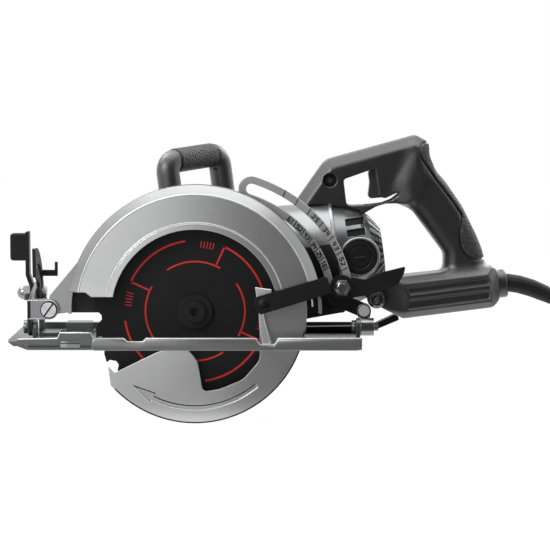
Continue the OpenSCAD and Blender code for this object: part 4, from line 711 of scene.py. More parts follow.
def add_world():
    """Soft light all round, which rays that are seen directly find white."""
    scene.world = bpy.data.worlds.new("studio")
    scene.world.use_nodes = True
    t = scene.world.node_tree
    t.nodes.clear()
    lit, white = (shader(t, "Background", {"Color": (*WHITE, 1), "Strength": k}) for k in WORLD_LEVELS)
    mix_shaders(t, seen_directly(t), lit, white, shader(t, "OutputWorld", {}))


def add_sheet(name, corners, material):
    bm = bmesh.new()
    bm.faces.new([bm.verts.new(c) for c in corners])
    o = mesh_object(name, bm, material, False)
    return o


def add_floor():
    m, t, bsdf = new_material("studio_floor")
    clouds = noise(t, texture_coords(t), FLOOR_CLOUDS)
    fill(t, bsdf, {"Base Color": ramp(t, clouds, *(grey(k) for k in FLOOR_GREYS)), "Roughness": 0.9})
    glow = shader(t, "Emission", {"Strength": 1.1})
    out = next(n for n in t.nodes if n.type == "OUTPUT_MATERIAL")
    mix_shaders(t, math_node(t, "MULTIPLY", seen_directly(t), FLOOR_GLOW_SHARE), bsdf, glow, out)
    s, z = FLOOR_HALF, FLOOR_Z * MM
    add_sheet("studio_floor", ((-s, -s, z), (s, -s, z), (s, s, z), (-s, s, z)), m)


def add_lamp(name, place, aim, size, power):
    lamp = bpy.data.lights.new(name, "AREA")
    lamp.energy = power
    lamp.size = size
    o = bpy.data.objects.new(name, lamp)
    o.location = place
    o.rotation_euler = (Vector(aim) - Vector(place)).to_track_quat("-Z", "Y").to_euler()
    scene.collection.objects.link(o)


def add_card(name, level, corners):
    """Grey card that only shows in reflections, as in a product studio."""
    m, t, bsdf = new_material(name)
    fill(t, bsdf, {"Base Color": (*BLACK, 1), "Specular IOR Level": 0.0, "Emission Color": (*WHITE, 1),
                   "Emission Strength": level})
    o = add_sheet(name, corners, m)
    o.visible_camera = o.visible_diffuse = o.visible_shadow = o.visible_transmission = False


def add_studio():
    add_world()
    add_floor()
    for lamp in LAMPS:
        add_lamp(*lamp)
    for card in CARDS:
        add_card(*card)
    scene.view_settings.view_transform = "Standard"


# Rear handle: neck, grip and base as outlines (u, w, corner radius) in the motor's frame

NECK_TOP = [(133.6, 89.9, 14), (219.5, 101.8, 7), (229.2, 94.2, 2)]
NECK_LINE = [(103, 56.5, 1)] + NECK_TOP + [
    (227, 84, 6), (229, 70, 8), (205, 42, 6), (199, 41.2, 4), (183.5, 42.6, 6), (175, 41.2, 6),
    (164, 36.8, 4), (150, 35, 2), (120, 40, 2)]
NECK_EDGE = [(70, 20.5, 0)] + NECK_TOP + [(229.2, 0, 0), (70, 0, 0)]
GRIP_LINE = [
    (199, 41, 9), (208.5, 31, 10), (231, -9.5, 12), (226.5, -40, 4), (272, -42, 4), (268, -24, 6),
    (266, -10, 40), (262.6, 3, 40), (253, 31, 60), (240.6, 55.2, 60), (231, 69.5, 20), (226.8, 79, 12),
    (227.4, 90, 4), (212, 92, 10), (196, 60, 20)]
BASE_LINE = [
    (150, -30, 3), (168, -52, 3), (186, -64.2, 5), (269.5, -64.7, 7), (277, -58.5, 4), (277.5, -31, 3),
    (274.5, -28, 3), (266, -26.8, 4), (190, -25.4, 8), (172, -24, 4)]
TRIGGER_HOLE = [
    (148.2, 47.0, 3), (148.4, 69.8, 2.5), (171.2, 74.6, 2), (178, 76, 1), (178, 50, 2), (184, 47.5, 3),
    (196.6, 51.6, 0.6), (196.6, 49.6, 0.6), (189.6, 45.6, 5), (180.7, 43.6, 6), (169.4, 43.6, 6),
    (152, 45.2, 4)]
PAD_LINE = [
    (224.6, 93.2, 3), (221, 87.5, 5), (221.6, 80, 8), (234.4, 55.5, 40), (243.7, 39.8, 40), (252.2, 23, 6),
    (247.6, 6, 14), (247.6, -8, 10), (256, -18.2, 8), (285, -20, 1), (285, 93.2, 1)]
PANELS = [[(190.5, -34.2, 1), (269.5, -35.4, 2), (270.2, -43.2, 2), (194.5, -43.0, 1)],
          [(193.5, -46.6, 1), (270, -47.2, 2), (268.4, -57.2, 2), (188.6, -57.0, 1)]]
PANEL_SLOPE, PANEL_DEEP, PANEL_ROUND = 0.75, 2.6, 0.6
NECK_HALF, GRIP_HALF, BASE_HALF = 16.0, 17.0, 25.0
NECK_BAND, BASE_BAND = (9.7, 8.0), (7, 8)  # how wide and deep the bevel along the edge is
NECK_TAPER = 0.07
NECK_ROUND, FACE_ROUND, GRIP_ROUND, BASE_ROUND = 1.0, 1.2, 13.0, 1.5
GRIP_BLEND, BASE_BLEND, SPIGOT_BLEND = 9.0, 7.0, 2.0
BASE_TAPERS = (  # half the width, where, its change over a run, and the share that makes it a distance
    (14, 166, 11, 26, 0.92),
    (13, 277, -12, 9, 0.6),
)
SPIGOT_W, SPIGOT_R, SPIGOT_END, SPIGOT_HALF, SPIGOT_ROUND = -45.2, 13.0, 286.0, 15, 2.5
TRIGGER_SLOT = ((0, 7.8), (181.5, 17.2), (61.5, 19.6))  # middle and half the size along v, u and w
TRIGGER_ROUND = 1.5
SCREW_DOT = (135.7, 70.7, 6.0)
SCREW_DOT_DEEP = 5
FAR_SCREWS = ((216.6, -45.8, 25.0), (264.0, -45.8, 25.0), (237.3, 15.2, 17.0))
FAR_HOLE_R, FAR_HOLE_DEEP, SCREW_ROUND = 5.6, 4.2, 0.8
MOTOR_FORM = [(62, 54), (130, 51), (133, 51), (133.1, 48.8), (145, 46), (158, 41.4), (165.7, 35), (173, 25.3),
              (176, 20.7), (176.1, -60)]
MOTOR_GAP = 0.6
SKIN_DEEP = 2.0
PAD_SKIN = (0.7, 0.9, 1.3, 0.6)  # proud, and the groove's half width, depth and rounding
HANDLE_STEP, HANDLE_KEEP, SKIN_KEEP = 0.9, 0.5, 0.6
REAR_LOW, REAR_HIGH = (100.0, -27.5, -67.5), (288.0, 27.5, 104.5)


def motor_radius(u):
    return np.interp(u, *zip(*MOTOR_FORM))


def neck_field(outline, side):
    edge = outline(NECK_EDGE)
    face = side - NECK_HALF + NECK_TAPER * np.maximum(-edge - NECK_BAND[0], 0)
    neck = smooth_max(outline(NECK_LINE), sloped_edge(edge, side, NECK_HALF, *NECK_BAND), NECK_ROUND)
    return smooth_max(neck, face, FACE_ROUND)


def base_field(outline, side, u):
    d = outline(BASE_LINE)
    base = smooth_max(d, side - BASE_HALF, BASE_ROUND)
    base = smooth_max(base, sloped_edge(d, side, BASE_HALF, *BASE_BAND), BASE_ROUND)
    for half, start, change, run, share in BASE_TAPERS:
        base = smooth_max(base, ((side - half) - (u - start) * change / run) * share, BASE_ROUND)
    deep = BASE_HALF - side
    for panel in PANELS:
        cut = np.maximum(outline(panel) + PANEL_SLOPE * deep, deep - PANEL_DEEP)
        base = smooth_max(base, -cut, PANEL_ROUND)
    return base


def screw_holes(body, u, v, w):
    """Body with one screw hole through the neck's sides and three in the far side."""
    du, dw, r = SCREW_DOT
    dot = np.maximum(np.hypot(u - du, w - dw) - r, NECK_HALF - SCREW_DOT_DEEP - np.abs(v))
    body = smooth_max(body, -dot, SCREW_ROUND)
    for su, sw, half in FAR_SCREWS:
        far = np.maximum(np.hypot(u - su, w - sw) - FAR_HOLE_R, half - FAR_HOLE_DEEP - v)
        body = smooth_max(body, -far, SCREW_ROUND)
    return body


def handle_fields():
    """Fields of the handle's body and of the rubber over the back of its grip."""
    u, v, w = grid(REAR_LOW, REAR_HIGH, HANDLE_STEP)
    flat_u, flat_w = u[:, :1, :], w[:, :1, :]
    side = np.abs(v)

    def outline(points):
        return outline_distance(flat_u, flat_w, rounded_outline(points))

    grip = rounded_slab(outline(GRIP_LINE), v, GRIP_HALF, GRIP_ROUND)
    body = smooth_min(neck_field(outline, side), grip, GRIP_BLEND)
    body = smooth_min(body, base_field(outline, side, flat_u), BASE_BLEND)
    spigot = np.hypot(v, w - SPIGOT_W) - SPIGOT_R
    spigot = rounded_slab(spigot, u - SPIGOT_END + SPIGOT_HALF, SPIGOT_HALF, SPIGOT_ROUND)
    body = smooth_min(body, spigot, SPIGOT_BLEND)
    body = smooth_max(body, -outline(TRIGGER_HOLE), TRIGGER_ROUND)
    slot = [np.abs(x - middle) - half for x, (middle, half) in zip((v, flat_u, flat_w), TRIGGER_SLOT)]
    body = np.maximum(body, -np.maximum(np.maximum(slot[0], slot[1]), slot[2]))
    body = screw_holes(body, flat_u, v, flat_w)
    body = np.maximum(body, -(np.hypot(v, w) - MOTOR_GAP - motor_radius(u)))
    return overmould(body, outline(PAD_LINE), *PAD_SKIN)


def rear_handle():
    body, pad = handle_fields()
    o = surface("rear_handle", body, REAR_LOW, HANDLE_STEP, motor, HANDLE, HANDLE_KEEP)
    settle(o, "saw_body", "handle_plastic", "handle_left", "handle_right")
    o = surface("grip_overmould", pad, REAR_LOW, HANDLE_STEP, motor, GRIP, SKIN_KEEP)
    settle(o, "saw_body", "grip_rubber", "grip_pad")


# Front handle: two legs and a skewed bar with a rubber sleeve, in the motor's frame

FRONT_A, FRONT_B = (-9.0, -40.5), (37.0, 14.9)
FRONT_FOOT, FRONT_TOP, FRONT_R, FRONT_BEND = 42.0, 107.5, 10.5, 11.0
FRONT_SUNK = 12
FOOT_GAP, FOOT_ROUND = 0.3, 0.5
BEND_STEPS = 7
SLEEVE_SHORT, SLEEVE_DROP = 10, 2
SLEEVE_SKIN = (0.6, 0.8, 1.2, 0.5)  # proud, and the groove's half width, depth and rounding
FRONT_LOW, FRONT_HIGH = (-23.0, -54.0, 40.0), (51.0, 29.0, 120.0)


def front_path(along):
    """Points up one leg, round its bend, along the bar and down the other leg."""
    path = [(*FRONT_A, FRONT_FOOT - FRONT_SUNK)]
    turns = [math.radians(90 * i / (BEND_STEPS - 1)) for i in range(BEND_STEPS)]
    for end, way in ((FRONT_A, 1), (FRONT_B, -1)):
        for a in turns[::way]:
            d = way * FRONT_BEND * (1 - math.cos(a))
            z = FRONT_TOP - FRONT_BEND * (1 - math.sin(a))
            path.append((end[0] + d * along.x, end[1] + d * along.y, z))
    path.append((*FRONT_B, FRONT_FOOT - FRONT_SUNK))
    return path


def front_handle():
    p = grid(FRONT_LOW, FRONT_HIGH, HANDLE_STEP)
    along = Vector((FRONT_B[0] - FRONT_A[0], FRONT_B[1] - FRONT_A[1]))
    half = along.length / 2
    along.normalize()
    path = front_path(along)
    body = np.min([segment_distance(p, a, b) for a, b in zip(path, path[1:])], axis=0) - FRONT_R
    body = smooth_max(body, FRONT_FOOT + FOOT_GAP - p[2], FOOT_ROUND)
    run = (p[0] - FRONT_A[0]) * along.x + (p[1] - FRONT_A[1]) * along.y
    area = np.maximum(np.abs(run - half) - (half - SLEEVE_SHORT), FRONT_TOP - FRONT_R - SLEEVE_DROP - p[2])
    body, sleeve = overmould(body, area, *SLEEVE_SKIN)
    o = surface("front_handle_body", body, FRONT_LOW, HANDLE_STEP, motor, HANDLE, HANDLE_KEEP)
    settle(o, "saw_body", "handle_plastic", "front_handle")
    o = surface("front_handle_sleeve", sleeve, FRONT_LOW, HANDLE_STEP, motor, GRIP, SKIN_KEEP)
    settle(o, "saw_body", "grip_rubber")


# Red line design on the blade: broken rings and short ticks

BLADE_PRINT_Y = -0.96
BLADE_ARCS = ((62.4, 64.2, 8, 66), (43.8, 45.3, -30, 34), (44.5, 64.2, 64.6, 66.2))  # two radii, two angles
BLADE_REPEATS = 4
TICK_RADII = (57, 63.2)
TICK_FROM, TICK_STEP, TICK_WIDE, TICK_COUNT = 74, 2.6, 0.8, 5
ARC_STEP = 3


def blade_strip(r0, r1, a0, a1):
    n = max(2, int(abs(a1 - a0) / ARC_STEP))
    inner, outer = (guard_arc(r, a0, a1, n) for r in (r0, r1))
    return [at(x, BLADE_PRINT_Y, z) for x, z in outer + inner[::-1]]


def blade_lines():
    strips = []
    for k in range(BLADE_REPEATS):
        turn = k * 360 / BLADE_REPEATS
        strips += [blade_strip(r0, r1, turn + a0, turn + a1) for r0, r1, a0, a1 in BLADE_ARCS]
        for j in range(TICK_COUNT):
            a = turn + TICK_FROM + j * TICK_STEP
            strips.append(blade_strip(*TICK_RADII, a, a + TICK_WIDE))
    settle(print_plates("blade_lines", strips, RED), "arbor", "black_blade")


# Depth bracket: a slotted band along the stud's path, with a scale on both limbs, and painted shade on its
# lower part and eye

PIVOT, STUD, SWING = Vector((-130.5, 32.8)), Vector((131.784, 51.7)), Vector((151.5, 30.5))
SWING_RATIO = 0.72
BRACKET_Y, BRACKET_T, BRACKET_EDGE = 10.6, 3.0, 0.55
SLOT_HALF, LIMB, BAND_SHIFT = 4.7, 6.9, 2.2
SLOT_FROM, SLOT_TO = -1.7, 27.2
EYE_R, EYE_DROP, EYE_GAP = 6.5, 1.4, 0.06
BAND_SHADE_Z = 0.047
STUD_FORM = [(2.2, 2.0), (2.2, 14.2), (5.0, 14.2), (5.0, 22.4)]
DIGITS = {  # each as lines of points
    1: [[(0.5, 0), (0.5, 2), (0.2, 1.6)]],
    2: [[(0, 1.9), (1, 1.9), (1, 1.1), (0, 0), (1, 0)]],
    3: [[(0, 2), (1, 2), (1, 0)], [(0.3, 1), (1, 1)], [(0, 0), (1, 0)]],
    4: [[(0, 2), (0, 1), (1, 1)], [(0.8, 2), (0.8, 0)]],
    5: [[(1, 2), (0, 2), (0, 1.1), (1, 1.1), (1, 0), (0, 0)]],
    6: [[(1, 2), (0, 2), (0, 0), (1, 0), (1, 1), (0, 1)]],
}
DIGIT_HIGH, DIGIT_SHAPE = 3.6, 0.62
MARK_WIDE, MARK_LIFT, MARK_SLANT = 0.95, 0.04, 0.5
LONG_TICK, PLAIN_TICK = LIMB - 1.6, LIMB - 1.2
INNER, OUTER = BAND_SHIFT + SLOT_HALF + LIMB / 2, BAND_SHIFT - SLOT_HALF - LIMB / 2
SCALES = (  # limb, first tick, step, count, and each digit's shift, first value and change
    (INNER, 4.6, 2.4, 6, ((0.75, 6, -1), (1.55, 1, 1))),
    (OUTER, 3.4, 3.2, 4, ((1.1, 2, 1), (2.0, 5, -1))),
)
PLAIN_TICKS = (16.2, 19.0, 21.6)


def spin(p, degrees):
    c, s = math.cos(math.radians(degrees)), math.sin(math.radians(degrees))
    return Vector((p.x * c - p.y * s, p.x * s + p.y * c))


def stud_place(t, near=0.1):
    """Place of the stud in the bracket, the way along it and across, after t degrees of depth travel."""
    def stud(k):
        return SWING + spin(PIVOT + spin(STUD - PIVOT, k) - SWING, SWING_RATIO * k)
    along = (stud(t + near) - stud(t - near)).normalized()
    return stud(t), along, Vector((-along.y, along.x))


def bracket_loop(half, n=44, cap=12):
    """Closed loop at half the width from the slot's middle line."""
    rows = [stud_place(SLOT_FROM + (SLOT_TO - SLOT_FROM) * i / n) for i in range(n + 1)]
    mid = [p + q * BAND_SHIFT for p, _, q in rows]
    loop = [m - r[2] * half for m, r in zip(mid, rows)]
    loop += [mid[-1] + spin(-rows[-1][2] * half, 180 * i / cap) for i in range(1, cap)]
    loop += [m + r[2] * half for m, r in zip(mid[::-1], rows[::-1])]
    loop += [mid[0] + spin(rows[0][2] * half, 180 * i / cap) for i in range(1, cap)]
    return loop


def tick(t, across, size):
    """One line across a limb, a little slanted."""
    p, along, out = stud_place(t)
    centre = p + out * across
    reach = out * (size / 2) - along * MARK_SLANT
    return [(centre - reach, centre + reach)]


def digit(t, across, value):
    """Lines of one digit on a limb."""
    p, along, out = stud_place(t)
    centre = p + out * across

    def corner(c):
        aside = (0.5 - c[0]) * DIGIT_HIGH * DIGIT_SHAPE
        return centre + along * aside + out * ((1 - c[1]) * DIGIT_HIGH / 2)

    return [(corner(a), corner(b)) for line in DIGITS[value] for a, b in zip(line, line[1:])]


def depth_marks():
    marks = []
    for limb, start, step, count, digits in SCALES:
        for i in range(count):
            t = start + step * i
            marks += tick(t, limb, LONG_TICK)
            for shift, first, change in digits:
                marks += digit(t + shift, limb, first + change * i)
    for t in PLAIN_TICKS:
        marks += tick(t, OUTER, PLAIN_TICK)
    return marks


def depth_bracket():
    y0, y1, e = BRACKET_Y, BRACKET_Y + BRACKET_T, BRACKET_EDGE
    s, w = SLOT_HALF, SLOT_HALF + LIMB
    steps = ((s, y0 + e), (s + e, y0), (w - e, y0), (w, y0 + e), (w, y1), (s, y1))
    loops = [[at(p.x, y, p.y) for p in bracket_loop(half)] for half, y in steps]
    band = loft("depth_band", loops, BRACKET, closed=True, angle=0.5)
    # Painted shade: the band's faces below BAND_SHADE_Z get the black material.
    paint(band, BLACK_STEEL_AND_SHADE, lambda c, n: c.z < BAND_SHADE_Z)
    settle(band, "depth_link", "zinc_steel", "depth_bracket")
    # The eye is black as painted shade.
    eye = capsule(stud_place(SLOT_FROM - EYE_DROP)[0], SWING, EYE_R)
    settle(prism("depth_band_eye", eye, y0 + EYE_GAP, y1 - EYE_GAP, upright, BLACK_STEEL_AND_SHADE),
           "depth_link", "zinc_steel")
    settle(strokes("depth_scale", depth_marks(), MARK_WIDE, lambda a, b: at(a, y0 - MARK_LIFT, b), INK_AND_SHADE),
           "depth_link", "zinc_steel")
    settle(lathe("depth_stud_bolt", lambda a, b, h: at(STUD.x + a, h, STUD.y + b), STUD_FORM, ZINC),
           "saw_body", "zinc_steel", "depth_stud")


# Handle screws: one dark in its hole, one bright ring on a boss, and three on the far side

NECK_SCREW = [(2.5, -6.0), (2.5, 9.6), (5.5, 9.6), (5.5, 11.2), (4.8, 11.9), (2.4, 11.9), (2.2, 10.6)]
FOOT_PLACE = (164.3, -42.9)
FOOT_PIECES = (  # name, profile, material, slot, and whether it is an open ring
    ("foot_boss", [(8.6, 4.0), (8.6, 19.0), (8.0, 19.9), (7.4, 20.2)], HANDLE, "handle_plastic", False),
    ("foot_ring", [(7.1, 19.6), (7.2, 21.2), (6.6, 22.0), (5.6, 22.0), (4.9, 21.2), (4.8, 19.6)],
     CHROME, "zinc_steel", True),
    ("foot_socket", [(5.0, 20.3), (3.2, 20.5), (2.9, 20.3)], ZINC, "zinc_steel", False),
    ("foot_pin", [(2.6, 20.0), (2.6, 21.2), (2.0, 21.8), (0.8, 22.0)], CHROME, "zinc_steel", False),
)
FAR_SHANK = (2.5, 2.0)
FAR_HEAD = [(2.5, -4), (4.8, -4), (4.8, -2.4), (4.2, -1.9)]  # heights from the handle's side


def handle_screws():
    def place(u, w, side):
        return lambda a, b, h: motor(u + a, side * h, w + b)

    settle(lathe("neck_screw", place(*SCREW_DOT[:2], -1), NECK_SCREW, BLACK_STEEL_AND_SHADE),
           "saw_body", "zinc_steel", "handle_screws")
    for name, form, material, slot, ring in FOOT_PIECES:
        settle(lathe(name, place(*FOOT_PLACE, -1), form, material, ring=ring), "saw_body", slot)
    for i, (u, w, half) in enumerate(FAR_SCREWS):
        form = [FAR_SHANK] + [(r, half + h) for r, h in FAR_HEAD]
        settle(lathe("far_screw_%d" % i, place(u, w, 1), form, BLACK_STEEL_AND_SHADE), "saw_body", "zinc_steel")


# Bevel lever: bent arm with a rounded pad, a domed nut and its bolt

BOLT_Y, BOLT_Z, ARM_X = 59.68, 42.33, -153.8
LEVER_ARM = [(-157.7, 99.0, 1), (-154.4, 99.0, 1), (-154.2, 60.0, 5), (-150.5, 49.0, 5), (-150.5, 33.0, 2),
             (-153.8, 33.0, 1), (-153.8, 48.0, 5), (-157.7, 59.0, 5)]
LEVER_PAD = [(-172.0, 72.2, 3), (-156.0, 72.2, 1.5), (-156.0, 97.4, 1.5), (-172.0, 97.4, 3)]
ARM_HALF, ARM_EDGE, PAD_HALF, PAD_EDGE = 7, 0.5, 4.5, 1.2
BEVEL_BOLT = [(4.0, 0.0), (4.0, -11.2), (6.0, -11.2), (6.0, -15.0)]
BEVEL_NUT = [(7.6, 0.0), (7.6, 5.6), (6.4, 6.4)]
DOME_R, DOME_FOOT, DOME_BASE, DOME_HIGH, DOME_TIP = 6.3, 2.0, 5.8, 6.6, 0.3
HEXAGON = 6


def bevel_lever():
    def across(a, b, t):
        return at(a, BOLT_Y + t, b)

    def along(a, b, h):
        return at(ARM_X - h, BOLT_Y + a, BOLT_Z + b)

    arm, pad = rounded_outline(LEVER_ARM), rounded_outline(LEVER_PAD)
    settle(prism("bevel_arm", arm, -ARM_HALF, ARM_HALF, across, BLACK_STEEL_AND_SHADE, ARM_EDGE),
           "bevel_lock", "black_steel", "bevel_lever")
    settle(prism("bevel_pad", pad, -PAD_HALF, PAD_HALF, across, BLACK_STEEL_AND_SHADE, PAD_EDGE),
           "bevel_lock", "black_steel")
    settle(lathe("bevel_bolt", along, BEVEL_BOLT, ZINC), "bevel_lock", "zinc_steel")
    settle(lathe("bevel_nut", along, BEVEL_NUT, CHROME, HEXAGON), "bevel_lock", "chrome_steel")
    turns = [math.radians(k) for k in range(0, 90, 10)]
    dome = [(DOME_R * math.cos(k), DOME_BASE + DOME_HIGH * math.sin(k)) for k in turns]
    dome = [(DOME_R, DOME_FOOT)] + dome + [(DOME_TIP, DOME_BASE + DOME_HIGH)]
    settle(lathe("bevel_dome", along, dome, CHROME), "bevel_lock", "chrome_steel")


# Blade wrench: flat bar with a bent tail

WRENCH_LINE = [(90.5, 3.6, 0.5), (160.5, 3.6, 30), (187.6, 15.0, 1.5), (185.2, 21.0, 1.5), (160.0, 9.2, 26),
               (90.5, 8.2, 0.5)]
WRENCH_Y, WRENCH_EDGE = (81.0, 95.0), 0.6


def blade_wrench():
    bar = prism("wrench_bar", rounded_outline(WRENCH_LINE), *WRENCH_Y, upright, BLACK_STEEL_AND_SHADE, WRENCH_EDGE)
    settle(bar, "shoe_body", "black_steel", "wrench")


# Shoe: rounded rail with two notches along its near edge

RAIL_FROM, RAIL_TO, RAIL_NEAR, RAIL_LOW, RAIL_HIGH = -90.0, 147.8, -44.0, 0.2, 10.9
RAIL_BACK, RAIL_BULGE, RAIL_SIDES = 0.6, 1.7, 14
RAIL_START = ((0, 0.35), (1.5, 0.9), (3, 1))  # distance from the end, and share of the full size
RAIL_STOP = ((5, 1), (2, 0.94), (0.6, 0.8), (0, 0.6))
NOTCHES = ((-60.0, -43.0, 3.0), (56.0, 73.0, 5.5))  # from, to and depth
NOTCH_OUT, NOTCH_IN = 1.5, 2


def notch_steps():
    """Places along the rail where a notch starts, gets deep, ends and is over, each with its depth."""
    return [(x, d) for a, b, dip in NOTCHES for x, d in (
        (a - NOTCH_OUT, 0), (a + NOTCH_IN, dip), (b - NOTCH_IN, dip), (b + NOTCH_OUT, 0))]


def shoe_rail():
    stations = [(RAIL_FROM + d, share, 0) for d, share in RAIL_START]
    stations += [(x, 1, dip) for x, dip in notch_steps()]
    stations += [(RAIL_TO - d, share, 0) for d, share in RAIL_STOP]
    turns = [math.radians(-90 + 180 * i / RAIL_SIDES) for i in range(RAIL_SIDES + 1)]
    loops = []
    for x, share, dip in stations:
        mid, half = (RAIL_LOW + RAIL_HIGH - dip) / 2, (RAIL_HIGH - dip - RAIL_LOW) / 2
        loop = [at(x, RAIL_NEAR + RAIL_BACK, mid + half * share * k) for k in (1, -1)]
        loop += [at(x, RAIL_NEAR - RAIL_BULGE * share * math.cos(a), mid + half * share * math.sin(a))
                 for a in turns]
        loops.append(loop)
    settle(loft("shoe_rail", loops, RAIL, angle=1.0), "shoe_body", "shoe_metal")


# Brush end: caps with a slot of painted shade in bright rings, a dark liner of painted shade behind the
# vents, and a rim at the joint

BRUSH_U, CAP_OUT = 153.0, 50.0
CAP_FORM = [(15.6, -6), (15.6, 0.6), (14.4, 1.6), (11.2, 1.6), (10.4, 0.9), (9.8, 0.9), (9.2, 1.5),
            (0.5, 1.7)]
RING_FORM = [(15.7, -8), (15.7, 1.2), (16.3, 2.1), (17.3, 2.1), (18.2, 1.2), (18.5, -1), (18.7, -12)]
CAP_SLOT_HALF, CAP_SLOT_WIDE, CAP_SLOT_OUT = 4.6, 0.9, 1.76
CAP_SIDES, LINER_SIDES, RIM_SIDES = 56, 64, 96
LINER_AT, LINER_GAP = (137, 141, 145, 150, 154, 158, 162, 165, 168, 170), 1.4
RIM_FORM = [(50.4, 130.6), (52.2, 131.0), (52.6, 131.8), (52.6, 133.6), (52.0, 134.4), (49.0, 134.6)]


def brush_cap(name, side, *replaced):
    def place(a, b, h):
        return motor(BRUSH_U + a, side * (CAP_OUT + h), b)

    cap = lathe("brush_cap_" + name, place, CAP_FORM, COWL, CAP_SIDES)
    settle(cap, "saw_body", "cowl_plastic", *replaced)
    settle(lathe("brush_ring_" + name, place, RING_FORM, BARREL, CAP_SIDES), "saw_body", "cast_aluminium")
    # The slot is a flat black stroke, painted shade for its recess.
    line = [((-CAP_SLOT_HALF, 0), (CAP_SLOT_HALF, 0))]
    settle(strokes("cap_slot_" + name, line, CAP_SLOT_WIDE, lambda a, b: place(a, b, CAP_SLOT_OUT), HANDLE),
           "saw_body", "cowl_plastic")


def brush_end():
    def along(a, b, h):
        return motor(h, a, b)

    brush_cap("near", -1, "brush_caps")
    brush_cap("far", 1)
    # Painted shade: a near black lining just inside the housing, behind the vents.
    vent_shade = [(motor_radius(u) - LINER_GAP, u) for u in LINER_AT]
    settle(lathe("vent_liner", along, vent_shade, INK_AND_SHADE, LINER_SIDES), "saw_body", "cowl_plastic")
    settle(lathe("bell_rim", along, RIM_FORM, BARREL, RIM_SIDES), "saw_body", "cast_aluminium")


# Depth nut with a bevelled hexagon, and dark lines of painted shade in the front pivot screw's slot and round
# its head

DEPTH_NUT = [(8.4, 0.0), (8.4, 4.6), (7.4, 6.6), (5.2, 7.4), (4.6, 7.9), (0.6, 8.2)]
DEPTH_NUT_Y = 5.4
PIVOT_Y = -9.2
PIVOT_SLOT, PIVOT_SLOT_WIDE, PIVOT_SLOT_LIFT = [((-3.6, -5.0), (3.6, 5.0))], 1.5, 0.06
PIVOT_RING = [(6.8, 0.05), (6.8, -2.8), (7.5, -2.8), (7.5, 0.05)]


def nut_and_screw():
    def nut(a, b, h):
        return at(STUD.x + a, DEPTH_NUT_Y - h, STUD.y + b)

    def screw(a, b, h=PIVOT_SLOT_LIFT):
        return at(PIVOT.x + a, PIVOT_Y - h, PIVOT.y + b)

    settle(lathe("depth_hex", nut, DEPTH_NUT, CHROME, HEXAGON), "depth_lock", "chrome_steel", "depth_nut")
    # Painted shade: a dark slot across the pivot screw's head and a dark ring round it.
    settle(strokes("pivot_slot", PIVOT_SLOT, PIVOT_SLOT_WIDE, screw, INK_AND_SHADE), "tilt_frame", "zinc_steel")
    settle(lathe("pivot_ring", screw, PIVOT_RING, INK_AND_SHADE, ring=True), "tilt_frame", "zinc_steel")


# Lower guard: tab and lip beside the lift lever in the bright polish with painted highlight, placed by pixels
# of the picture

TAB_PIXELS = [(255.2, 287.2), (271.4, 289.4), (271.8, 294.0), (256.6, 299.5)]
LIP_PIXELS = [(258.4, 308.0), (262.6, 308.6), (265.0, 322.0), (271.2, 343.6), (262.4, 344.4), (259.6, 330.0)]
PIXEL_MIDDLE, PIXEL_SIZE, SIGHT_DROP = 275, 0.895, 0.0785
MIDDLE_X, MIDDLE_Z, SIGHT_LONG = 71.5, 63.4, 2000
TAB_SEEN_Y, TAB_Y, TAB_EDGE = -16, (-17.6, -13.0), 0.5


def from_picture(points, y):
    """Pixels to millimetres along and up, at depth y."""
    k = PIXEL_SIZE * (1 + y / SIGHT_LONG)
    return [(MIDDLE_X + (px - PIXEL_MIDDLE) * k, MIDDLE_Z + (PIXEL_MIDDLE - py) * k - SIGHT_DROP * y)
            for px, py in points]


def guard_tab():
    for name, points in (("guard_tab", TAB_PIXELS), ("guard_lip", LIP_PIXELS)):
        settle(prism(name, from_picture(points, TAB_SEEN_Y), *TAB_Y, upright, POLISH_AND_HIGHLIGHT, TAB_EDGE),
               "lower_guard_body", "guard_aluminium")


# Lines of painted highlight and painted shade along edges of the guards, the shoe and the clevis, and a strip
# of painted shade on the clevis

GUARD_FACE, LOWER_FACE = -16.0, -11.0
# Bright lines are painted highlight and dark lines are painted shade.
UPPER_LINES = (  # name, radius, angles from and to, depth, bead radius and material
    ("guard_line", 105.0, 3, 170, GUARD_FACE, 0.75, POLISH_AND_HIGHLIGHT),
    ("rim_line", 113.1, 6, 158, -7.4, 0.4, INK_AND_SHADE),
    ("lip_line", 80.2, 9, 167, GUARD_FACE, 0.7, POLISH_AND_HIGHLIGHT),
)
# A dark line of painted shade along the lower guard's outer rim.
LOWER_LINE = ("lower_line", 99.2, 224, 350, LOWER_FACE, 0.6, INK_AND_SHADE)
ARROW_R, ARROW_HALF, ARROW_BARB, ARROW_BEAD = 86.0, 1.9, 5.0, 0.5
ARROW_TAIL, ARROW_NECK, ARROW_TIP, ARROW_STEPS = 310, 244, 230, 24
TAB_TOP = 16.0
TOE_LINE = [(-154, RAIL_HIGH - 0.6), (-119.4, RAIL_HIGH), (-117, TAB_TOP), (-90, TAB_TOP), (-87.8, RAIL_HIGH)]
TOE_SLOT = [(-117, 6.6), (-100, 6.6)]
SHOE_BEAD, SHOE_BEAD_OUT, SHOE_BEAD_END, TOE_SLOT_BEAD = 0.65, 0.2, 1, 0.4
CLEVIS_FACE, CLEVIS_EYE, CLEVIS_BACK, CLEVIS_BEAD, CLEVIS_STEPS = -6.2, 8.3, -148.6, 0.45, 20
SHADE_IN, SHADE_HALF, SHADE_WIDE, SHADE_LIFT = 0.4, 6.6, 2.6, 0.05


def guard_bead(body, name, r, a, b, y, bead_r, material):
    bead(name, guard_arc(r, a, b), y, bead_r, material, body, "guard_aluminium")


